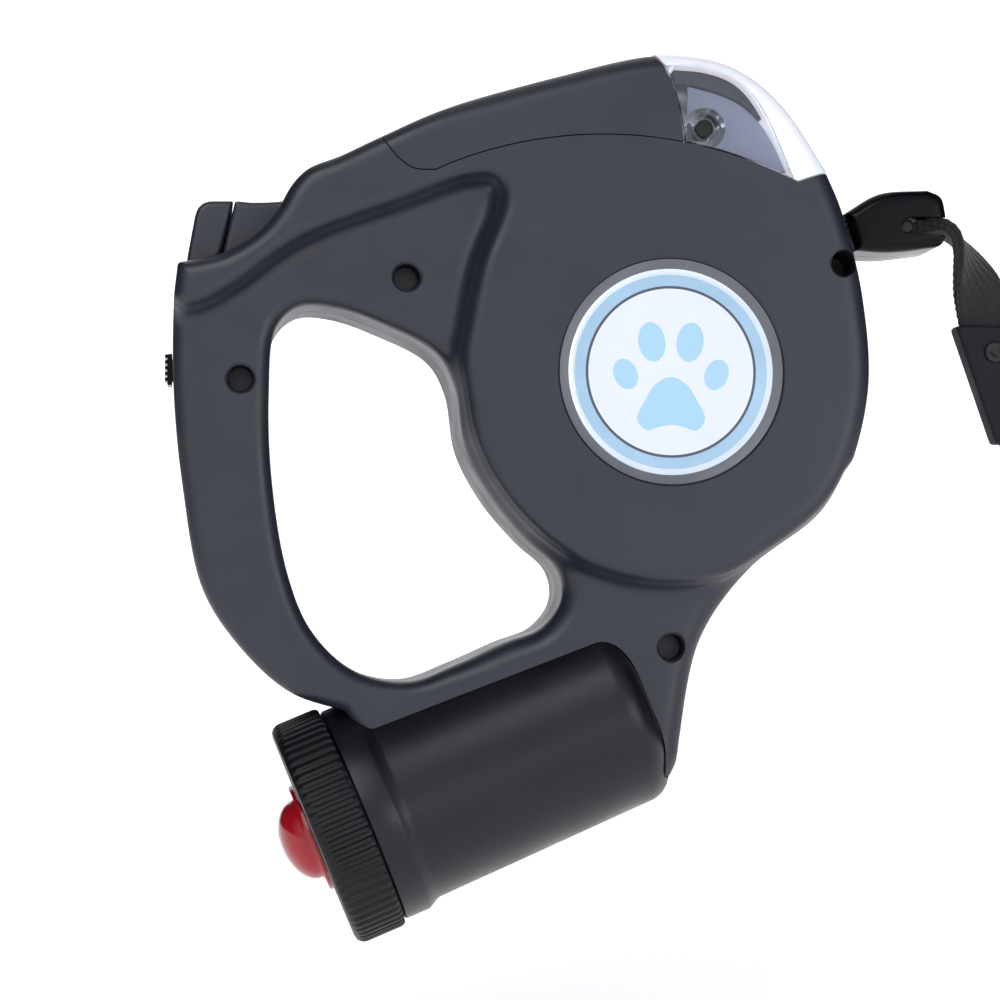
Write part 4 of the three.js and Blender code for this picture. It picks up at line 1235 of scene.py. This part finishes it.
@dataclass
class Webbing:
    """A woven strap along a line: warp threads along it, crossed by picks that scallop its edges."""

    line: np.ndarray
    across: np.ndarray
    half_width: float
    half_thick: float
    warp_mm: float = 1.15
    pick_mm: float = 1.7
    relief: float = 0.17
    layers: int = 2

    def section(self) -> np.ndarray:
        """The strap's cross-section, with a groove in each edge where two layers meet."""
        w, t = self.half_width, self.half_thick
        flat = np.linspace(-(w - 0.5), w - 0.5, max(12, round(8 * w)))
        if self.layers == 2:
            edge = [(w - 0.2, 0.86 * t), (w, 0.55 * t), (w - 0.1, 0.25 * t), (w - 0.5, 0.0)]
        else:
            edge = [(w - 0.15, 0.7 * t), (w, 0.0)]
        right = edge + [(v, -h) for v, h in edge[-2::-1]]
        left = [(-v, -h) for v, h in right]
        top = [(v, t) for v in flat]
        bottom = [(v, -t) for v in flat[::-1]]
        return np.array(top + right + bottom + left)

    def build(self) -> bpy.types.Object:
        """Makes the strap's mesh.

        Returns:
            The new object.
        """
        section = self.section()
        along = np.gradient(self.line, axis=0)
        along /= np.linalg.norm(along, axis=1)[:, None]
        facing = np.cross(self.across, along)
        reach = np.concatenate([[0], np.cumsum(np.linalg.norm(np.diff(self.line, axis=0), axis=1))])
        v, h = section[:, 0][None], section[:, 1][None]
        u = reach[:, None]
        column = np.floor(v / self.warp_mm)
        crown = np.sqrt(np.abs(np.sin(math.pi * v / self.warp_mm)))
        over = 0.5 + 0.5 * np.cos(2 * math.pi * (u / self.pick_mm + 0.5 * (column % 2)))
        face = np.clip((np.abs(h) - 0.5 * self.half_thick) / (0.5 * self.half_thick), 0, 1)
        lift = -self.relief * (1 - crown * (0.35 + 0.65 * over)) * face
        edge = np.abs(v) > self.half_width - 0.55
        scallop = -0.5 * self.relief * (1 - np.cos(2 * math.pi * u / self.pick_mm)) * edge
        wide = v + np.sign(v) * scallop
        tall = h + np.sign(h) * lift
        points = (self.line[:, None, :] + self.across[:, None, :] * wide[..., None]
                  + facing[:, None, :] * tall[..., None])
        rings, size = points.shape[:2]
        faces = [(a + i, a + (i + 1) % size, a + size + (i + 1) % size, a + size + i)
                 for a in range(0, (rings - 1) * size, size) for i in range(size)]
        ends = [range(size - 1, -1, -1), range((rings - 1) * size, rings * size)]
        piece = mesh_of(points.reshape(-1, 3), [*faces, *ends])
        outward(piece)
        return piece


@dataclass
class TapeEnd:
    """The tape, its stopper, and the strap with its sleeve and rivet."""

    straight: float = 45.0
    width: float = 13.0
    thick: float = 3.2
    tape_width: float = 15.0
    tape_thick: float = 0.7
    squares: float = 0.4

    def strap_line(self) -> np.ndarray:
        """The strap's centre line, flat: out of the stopper, over and down, then straight."""
        down = [tuple(STRAP_BEND_END + d * STRAP_DOWN) for d in (9, 18, 27, 36, self.straight)]
        return spline([(58.8, 35.1), (62.4, 35.6), (66, 36.2), (69.4, 34.9), (72.2, 31.4), (74.7, 26),
                       (76.7, 20), tuple(STRAP_BEND_END), *down], 330)

    def build_strap(self) -> tuple[bpy.types.Object, np.ndarray]:
        """Makes the strap, which turns from lying across the tape to facing sideways.

        Returns:
            The strap, and its centre line.
        """
        flat = self.strap_line()
        line = np.column_stack([flat[:, 0], np.zeros(len(flat)), flat[:, 1]])
        along = np.gradient(line, axis=0)
        along /= np.linalg.norm(along, axis=1)[:, None]
        normal = np.column_stack([-along[:, 2], np.zeros(len(flat)), along[:, 0]])
        reach = np.concatenate([[0], np.cumsum(np.linalg.norm(np.diff(line, axis=0), axis=1))])
        twist = math.pi / 2 * smoothstep(reach, 6, 34)
        across = np.cos(twist)[:, None] * np.array([[0, 1, 0]]) + np.sin(twist)[:, None] * normal
        strap = Webbing(line, across, self.width / 2, self.thick / 2).build()
        carve(strap, Cut.REMOVE, self.rivet_bore())
        return strap, line

    def rivet_place(self) -> Matrix:
        """Where the rivet goes through the sleeve."""
        return crosswise(STRAP_BEND_END[0] + 0.6, STRAP_BEND_END[1] - 6.2)

    def rivet_bore(self) -> bpy.types.Object:
        """The room for the rivet in the strap and the sleeve."""
        return rod(1.6, -8, 8, 24, self.rivet_place())

    def build_tape(self) -> None:
        """Makes the single tape that runs out through the mouth."""
        line = np.column_stack([np.linspace(0, 52.3, 300), np.zeros(300), np.full(300, TAPE_LEVEL)])
        across = np.tile([0.0, 1.0, 0.0], (300, 1))
        tape = Webbing(line, across, self.tape_width / 2, self.tape_thick / 2, relief=0.07, layers=1).build()
        hand_in(tape, "tape_run", WEBBING, "tape_end", ["tape_lead"], sharp=70)

    def build_stopper(self) -> None:
        """Makes the stopper's two polished halves, and the strap's loop round the pin."""
        line = np.vstack([
            spline([(42.6, 37.9), (50.6, 42.5), (61.9, 43.6)], 30),
            spline([(61.9, 43.6), (65.2, 42), (66.3, 38)], 12)[1:],
            spline([(66.3, 33), (65.2, 31), (60.8, 30), (52.8, 29.1), (45.2, 29.4)], 30),
        ])
        whole = cushioned(line, 10.0, 2.6, self.squares)
        slot = np.vstack([[(70, 32.6), (70, 38.1), (62, 37.9)], arc((57.4, 35.15), 2.6, 90, 270, 24)])
        narrow = np.vstack([[(70, 33.2), (70, 37.4), (62, 37.2)], arc((57.4, 35.15), 2.0, 90, 270, 24)])
        tape_room = block((30, -8, 34.9), (52.6, 8, 36.4))
        carve(whole, Cut.REMOVE, prism(slot, -8, 8), prism(narrow, -30, 30), tape_room)
        left = copied(whole)
        carve(whole, Cut.KEEP, block((0, -60, -60), (90, -SEAM_GAP, 60)))
        carve(left, Cut.KEEP, block((0, SEAM_GAP, -60), (90, 60, 60)))
        hand_in(whole, "stopper_right_half", STOPPER_ACETAL, "tape_end", ["stopper_right"])
        hand_in(left, "stopper_left_half", STOPPER_ACETAL, "tape_end", ["stopper_left"])
        loop = turned([(1.3, -6.2), (2.2, -6.2), (2.4, -5.9), (2.4, 5.9), (2.2, 6.2), (1.3, 6.2)], 40,
                      crosswise(57.3, 35.1))
        hand_in(loop, "strap_loop", WEBBING, "tape_end")

    def build_sleeve(self) -> bpy.types.Object:
        """Makes the moulded sleeve over the strap's joint.

        Returns:
            The sleeve.
        """
        x, z = STRAP_BEND_END
        dx, dz = STRAP_DOWN * 29
        half = 8 / math.cos(STRAP_LEAN) - 0.9
        line = np.array([(x - half + 0.3, z - 0.9), (x - half + dx - 0.3, z + dz + 0.9),
                         (x + half + dx - 0.3, z + dz + 0.9), (x + half + 0.3, z - 0.9)])
        sleeve = cushioned(line, 3.0, 0.8, 0.45, 0.9)
        reach = 7 / math.cos(STRAP_LEAN)
        tunnel = np.array([(x - reach - dx, z - dz), (x + reach - dx, z - dz),
                           (x + reach + 2 * dx, z + 2 * dz), (x - reach + 2 * dx, z + 2 * dz)])
        carve(sleeve, Cut.REMOVE, prism(tunnel, -1.95, 1.95), self.rivet_bore())
        return hand_in(sleeve, "sleeve_moulding", SLEEVE_ACETAL, "tape_end", ["strap_sleeve"])

    def build_rivet(self) -> bpy.types.Object:
        """Makes the tubular rivet, with a rolled head on each side.

        Returns:
            The rivet.
        """
        half = [(1.3, 0.0), (1.3, 3.1), (2.4, 3.1), (2.5, 3.35), (2.3, 3.75), (1.8, 3.95), (1.2, 3.85),
                (0.8, 3.4), (0.0, 3.3)]
        profile = [(r, -y) for r, y in half[::-1]] + half[1:]
        rivet = turned(profile, 48, self.rivet_place())
        return hand_in(rivet, "rivet_tubular", BLACK_OXIDE_AND_WELL_SHADE, "tape_end", ["rivet"], sharp=60)


@dataclass
class Snap:
    """The swivelling snap below the strap, drawn about the eye's bar with z along the strap."""

    drop: float = 47.4
    squares: float = 0.4
    place: Matrix = field(init=False)

    def __post_init__(self) -> None:
        """Finds where the eye's bar is."""
        x, z = STRAP_BEND_END + STRAP_DOWN * self.drop
        self.place = crosswise(x, z) @ Matrix.Rotation(-STRAP_LEAN, 4, "Y")

    def upright(self, profile: Sequence[Pair], x: float = 0.0, sides: int = 48) -> bpy.types.Object:
        """A body turned about an upright axis at x, from [radius, z] pairs."""
        return turned(profile, sides, crosswise(x, 0) @ Matrix.Rotation(math.pi / 2, 4, "X"))

    def hand_over(self, piece: bpy.types.Object, name: str, body: str, node_name: str) -> bpy.types.Object:
        """Puts a finished piece of the snap in the frame."""
        piece.data.transform(self.place)
        return hand_in(piece, name, NICKEL, body, [node_name], sharp=45)

    def build_eye(self) -> bpy.types.Object:
        """Makes the eye: a ring of round section, and the headed shank that turns in the snap."""
        outer = np.array([
            (-8, -0.5), (8, -0.5), (8, -5.6), (3.3, -9.5), (-3.3, -9.5), (-8, -5.6),
        ], float)
        window = np.array([
            (-6.4, -2.5), (6.4, -2.5), (6.4, -5.1), (2.3, -7.6), (-2.3, -7.6), (-6.4, -5.1),
        ], float)
        frame_region, hole = Region([outer], 5, 0.2), Region([window], 5, 0.2)

        def form(x: np.ndarray, y: np.ndarray, z: np.ndarray) -> np.ndarray:
            """The signed distance of the ring."""
            flat = edge_round(frame_region.distance(x, z) - 2.0, 1.0 - hole.distance(x, z), 0.3)
            return edge_round(flat, np.abs(y) - 1.4, 1.25)

        eye = skin(form, (-12, -3, -13.5), (12, 3, 3.5), 0.35)
        carve(eye, Cut.JOIN, self.upright([(0, -19), (2.9, -19), (3.2, -18.7), (3.2, -17.4), (2.1, -17.4),
                                           (2.1, -10.6), (0, -10.6)]))
        return self.hand_over(eye, "eye_forged", "eye", "swivel_eye")

    def build_body(self) -> bpy.types.Object:
        """Makes the snap's body: head, bolt housing and hook in one casting."""
        hook = np.vstack([[(3.2, -21), (9.4, -23)], arc((0, -42), 9.8, 0, -180, 40),
                          [(-9.8, -40.6), (-4.6, -40.6)], arc((0, -43), 4.6, 180, 360, 30), [(4.4, -30)]])
        region = Region([hook], 4, 0.2)
        blend = 1.2

        def form(x: np.ndarray, y: np.ndarray, z: np.ndarray) -> np.ndarray:
            """The signed distance of the casting."""
            bar = edge_round(region.distance(x, z), np.abs(y) - 2.8, 2.2)
            housing = edge_round(np.hypot(x + 7, y) - 3.3, np.abs(z + 23.9) - 10.1, 0.8)
            head = edge_round(np.hypot(x, y) - 5.4, np.abs(z + 18.1) - 5.3, 1.4)
            flat = edge_round(np.abs(x) - 5.6, np.abs(z + 22.5) - 4.5, 0.5)
            bridge = edge_round(flat, np.abs(y) - 2.9, 0.8)
            whole = bar
            for other in (housing, head, bridge):
                corner = np.hypot(np.maximum(blend - whole, 0), np.maximum(blend - other, 0))
                whole = np.maximum(blend, np.minimum(whole, other)) - corner
            return whole

        body = skin(form, (-12, -7, -54), (12, 7, -11), self.squares)
        carve(
            body, Cut.REMOVE,
            self.upright([(0, -19.6), (3.6, -19.6), (3.6, -16.9), (2.5, -16.9), (2.5, -10), (0, -10)]),
            self.upright([(0, -36), (2.1, -36), (2.1, -15.4), (0, -15.4)], -7),
            block((-8.1, -6, -32.6), (-5.9, 0, -22)),
        )
        return self.hand_over(body, "snap_casting", "snap", "snap_body")

    def build_bolt(self) -> bpy.types.Object:
        """Makes the bolt with its thumb knob."""
        pin = [(0, -40), (1.4, -40), (1.75, -39.6), (1.75, -25.6), (1.4, -25.3), (0, -25.3)]
        bolt = self.upright(pin, -7, 32)
        knob = block((-7.8, -5.5, -31.4), (-6.2, 0.2, -28.6))
        soften(knob, 0.3, 3)
        carve(bolt, Cut.JOIN, knob)
        return self.hand_over(bolt, "snap_bolt_pin", "bolt", "snap_bolt")


# ---- Thumb and grip controls -------------------------------------------------------------------


def coil(low: Triple, high: Triple, radius: float, wire: float, turns: float) -> bpy.types.Object:
    """A coil spring between two places.

    Args:
        low: the middle of its lower end.
        high: the middle of its upper end.
        radius: its radius to the middle of the wire.
        wire: the wire's radius.
        turns: the number of turns.

    Returns:
        The new object.
    """
    start, stop = Vector(low), Vector(high)
    axis = (stop - start).normalized()
    side = axis.orthogonal().normalized()
    other = axis.cross(side)
    count, around = int(turns * 20), 8
    points, faces = [], []
    for i in range(count + 1):
        angle = 2 * math.pi * turns * i / count
        outward_now = side * math.cos(angle) + other * math.sin(angle)
        centre = start.lerp(stop, i / count) + outward_now * radius
        for k in range(around):
            turn = 2 * math.pi * k / around
            points.append(centre + (outward_now * math.cos(turn) + axis * math.sin(turn)) * wire)
    for i in range(count):
        for k in range(around):
            m = (k + 1) % around
            faces.append((i * around + k, i * around + m, (i + 1) * around + m, (i + 1) * around + k))
    faces += [tuple(range(around - 1, -1, -1)), tuple(range(count * around, (count + 1) * around))]
    piece = mesh_of(np.array([tuple(p) for p in points]), faces)
    outward(piece)
    return piece


@dataclass
class Controls:
    """The brake button, its lock, its spring and the slide on the back of the grip."""

    half: float = 12.3
    lean: float = 0.2318
    squares: float = 0.5

    def front(self, z: float, at: float = -96.0) -> Pair:
        """A place on a face that leans as the button slides."""
        return at + self.lean * (z - 40), z

    def build(self) -> None:
        """Makes the controls."""
        line = np.vstack([
            [self.front(15.5), self.front(37.8), (-101.6, 37.7)],
            spline([(-103, 37.3), (-104.3, 36.1), (-105, 34)], 6),
            [(-106.6, 25), (-106.6, 15.5)],
        ])
        button = cushioned(line, self.half, 1.1, self.squares)
        roof = np.array([(self.front(31.3)[0] - 1.7, 31.3), (-103.1, 31.3), (-105, 24), (-105, 14),
                         (self.front(14)[0] - 1.7, 14)])
        carve(button, Cut.REMOVE, prism(roof, -10.6, 10.6), block((-105, -4.2, 14), (-95, 4.2, 31.3)))
        hand_in(button, "thumb_button", CASE_ABS, "brake_button", ["brake_button"])

        saddle = np.vstack([
            [self.front(25.8, -95.6), self.front(37.8, -95.6)],
            spline([(-92.8, 37.5), (-89, 37.6), (-83.8, 38.1)], 8),
            [(-78.6, 38.6), (-78.6, 35.3), (-84, 31.6), (-91, 26)],
        ])
        lock = cushioned(saddle, self.half, 0.9, self.squares)
        under = np.array([(-93.4, 35.6), (-78, 35.9), (-78, 20), (-100, 20), (-100, 31.2), (-93.4, 31.2)])
        carve(lock, Cut.REMOVE, prism(under, -10.9, 10.9))
        hand_in(lock, "thumb_lock", CASE_ABS, "lock", ["lock_slider"])

        spring = coil((-101.5, 0, 11.1), (-101.5, 0, 30.6), 1.55, 0.3, 9)
        hand_in(spring, "thumb_spring", SPRING_STEEL, "case", ["button_spring"], sharp=80)
        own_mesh(spring)
        self.build_nub()

    def build_nub(self) -> None:
        """Makes the ribbed slide on the back of the grip."""
        ribs: list[Pair] = [(-110.3, 4.5)]
        for i in range(5):
            z = 4.3 - 1.3 * i
            ribs += [(-111.5, z), (-111.5, z - 0.6), (-110.9, z - 0.8), (-110.9, z - 1.1)]
        ribs += [(-110.9, -2.5), (-109.9, -2.5), (-109.9, 4.5)]
        nub = prism(np.array(ribs), -3.2, 3.2)
        stem, plate = block((-110.2, -2, -1.6), (-105.5, 2, 3.4)), block((-106.1, -4, -3.5), (-105.1, 4, 5.3))
        carve(nub, Cut.JOIN, stem, plate)
        hand_in(nub, "grip_slide", STOPPER_ACETAL, "rear_slide", ["rear_slide"], sharp=25)


# ---- Stage -------------------------------------------------------------------------------------


@dataclass
class Studio:
    """The camera, the floor and backdrop, and the soft lights.

    The camera aims at a place in millimetres about the axle, from a distance in metres, and from as many degrees
    to the left of square on and below level as left and below say. The floor's sides, the distance of its bend
    behind the leash and the bend's radius are in metres.
    """

    distance: float = 0.6
    aim: Triple = (-35.8, 0.0, -27.7)
    left: float = 6.4
    below: float = 2.5
    lens: float = 95.04
    sides: Pair = (-1.3, 1.5)
    reach: float = 2.2
    bend_radius: float = 1.2

    def camera(self) -> None:
        """Makes the camera."""
        target = DRUM @ Vector(self.aim)
        a, e = math.radians(self.left), math.radians(-self.below)
        back = Vector((-math.sin(a) * math.cos(e), -math.cos(a) * math.cos(e), math.sin(e)))
        data = bpy.data.cameras.new("camera")
        data.lens = self.lens
        data.sensor_width = 36
        data.clip_start, data.clip_end = 0.02, 20
        eye = bpy.data.objects.new("camera", data)
        eye.location = target + back * self.distance
        eye.rotation_mode = "QUATERNION"
        eye.rotation_quaternion = (-back).to_track_quat("-Z", "Y")
        bpy.context.scene.collection.objects.link(eye)
        bpy.context.scene.camera = eye

    def room(self) -> None:
        """Makes the floor, which curves up into a backdrop."""
        floor = CAD_BOX[0].z - 0.03
        radius, reach = self.bend_radius, self.reach
        bend = [(reach + radius * math.sin(t), floor + radius * (1 - math.cos(t)))
                for t in np.linspace(0, math.pi / 2, 24)]
        run = [(-6.0, floor), *bend, (reach + radius, floor + 6)]
        points = [(x, y, z) for y, z in run for x in self.sides]
        faces = [(2 * i, 2 * i + 1, 2 * i + 3, 2 * i + 2) for i in range(len(run) - 1)]
        sheet = mesh_of(np.array(points), faces, "backdrop")
        sheet.data.shade_smooth()
        paper = bpy.data.materials.new("backdrop_paper")
        paper.use_nodes = True
        shader = paper.node_tree.nodes["Principled BSDF"]
        shader.inputs["Base Color"].default_value = linear("#fdfdfd")
        shader.inputs["Roughness"].default_value = 0.9
        shader.inputs["Emission Color"].default_value = linear("#ffffff")
        shader.inputs["Emission Strength"].default_value = 0.62
        sheet.data.materials.append(paper)

    def light(self, name: str, place: Triple, size: float, power: float) -> None:
        """Adds a soft square light that faces the leash.

        Args:
            name: the light's name.
            place: where it stands, in metres.
            size: its side.
            power: its power in watts.
        """
        data = bpy.data.lights.new(name, "AREA")
        data.shape = "SQUARE"
        data.size = size
        data.energy = power
        lamp = bpy.data.objects.new(name, data)
        lamp.location = place
        lamp.rotation_mode = "QUATERNION"
        lamp.rotation_quaternion = (Vector((0.07, 0, 0)) - Vector(place)).to_track_quat("-Z", "Y")
        bpy.context.scene.collection.objects.link(lamp)

    def lights(self) -> None:
        """Sets the lights and the plain sky."""
        self.light("key", (-0.35, -1.2, 0.9), 0.9, 6)
        self.light("fill", (0.9, -1.1, -0.1), 0.8, 4.5)
        self.light("top", (0.0, 0.3, 1.5), 0.8, 1.5)
        bpy.context.scene.world = self.sky()
        bpy.context.scene.view_settings.view_transform = "Standard"

    def sky(self) -> bpy.types.World:
        """A plain sky, bright behind the camera and dim at the sides, so that rounded edges turn dark.

        Returns:
            The world.
        """
        world = bpy.data.worlds.new("sky")
        world.use_nodes = True
        tree = world.node_tree
        way = node(tree, "ShaderNodeSeparateXYZ", {0: node(tree, "ShaderNodeTexCoord").outputs["Generated"]})
        share = node(tree, "ShaderNodeMapRange", {
            "Value": way.outputs["Y"], "From Min": -0.85, "From Max": -0.15, "To Min": 0.95, "To Max": 0.03,
        })
        ground = tree.nodes["Background"]
        ground.inputs[0].default_value = linear("#eef1fc")
        tree.links.new(share.outputs[0], ground.inputs[1])
        return world


def dress_nodes() -> None:
    """Gives every CAD node that still shows the finish of its material slot."""
    for row in frame["record"]["subparts"]:
        piece = frame["nodes"][row["node"]]
        finish = PLAIN_NODES[row["material_slot"]]
        if row["node"] in ("lamp_screw", "stopper_pin") or row["node"].startswith("case_screw"):
            finish = BLACK_OXIDE_AND_WELL_SHADE
        piece.data.materials.clear()
        piece.data.materials.append(finish.material())


def main() -> None:
    """Builds the scene."""
    logging.basicConfig(level=logging.INFO, format="%(name)s: %(message)s")
    studio = Studio()
    studio.camera()

    tape_end, snap = TapeEnd(), Snap()
    strap, line = tape_end.build_strap()
    hand_in(strap, "strap_woven", WEBBING, "tape_end", ["end_strap"], sharp=70)
    sleeve = tape_end.build_sleeve()
    rivet = tape_end.build_rivet()
    eye, body, bolt = snap.build_eye(), snap.build_body(), snap.build_bolt()
    tape_end.build_tape()
    tape_end.build_stopper()

    shape = CaseShape()
    Case(shape).build()
    Lamp(shape).build()
    for side in (-1, 1):
        Label(side).build()
    Barrel().build()
    Controls().build()
    dress_nodes()
    studio.room()
    studio.lights()


if __name__ == "__main__":
    main()
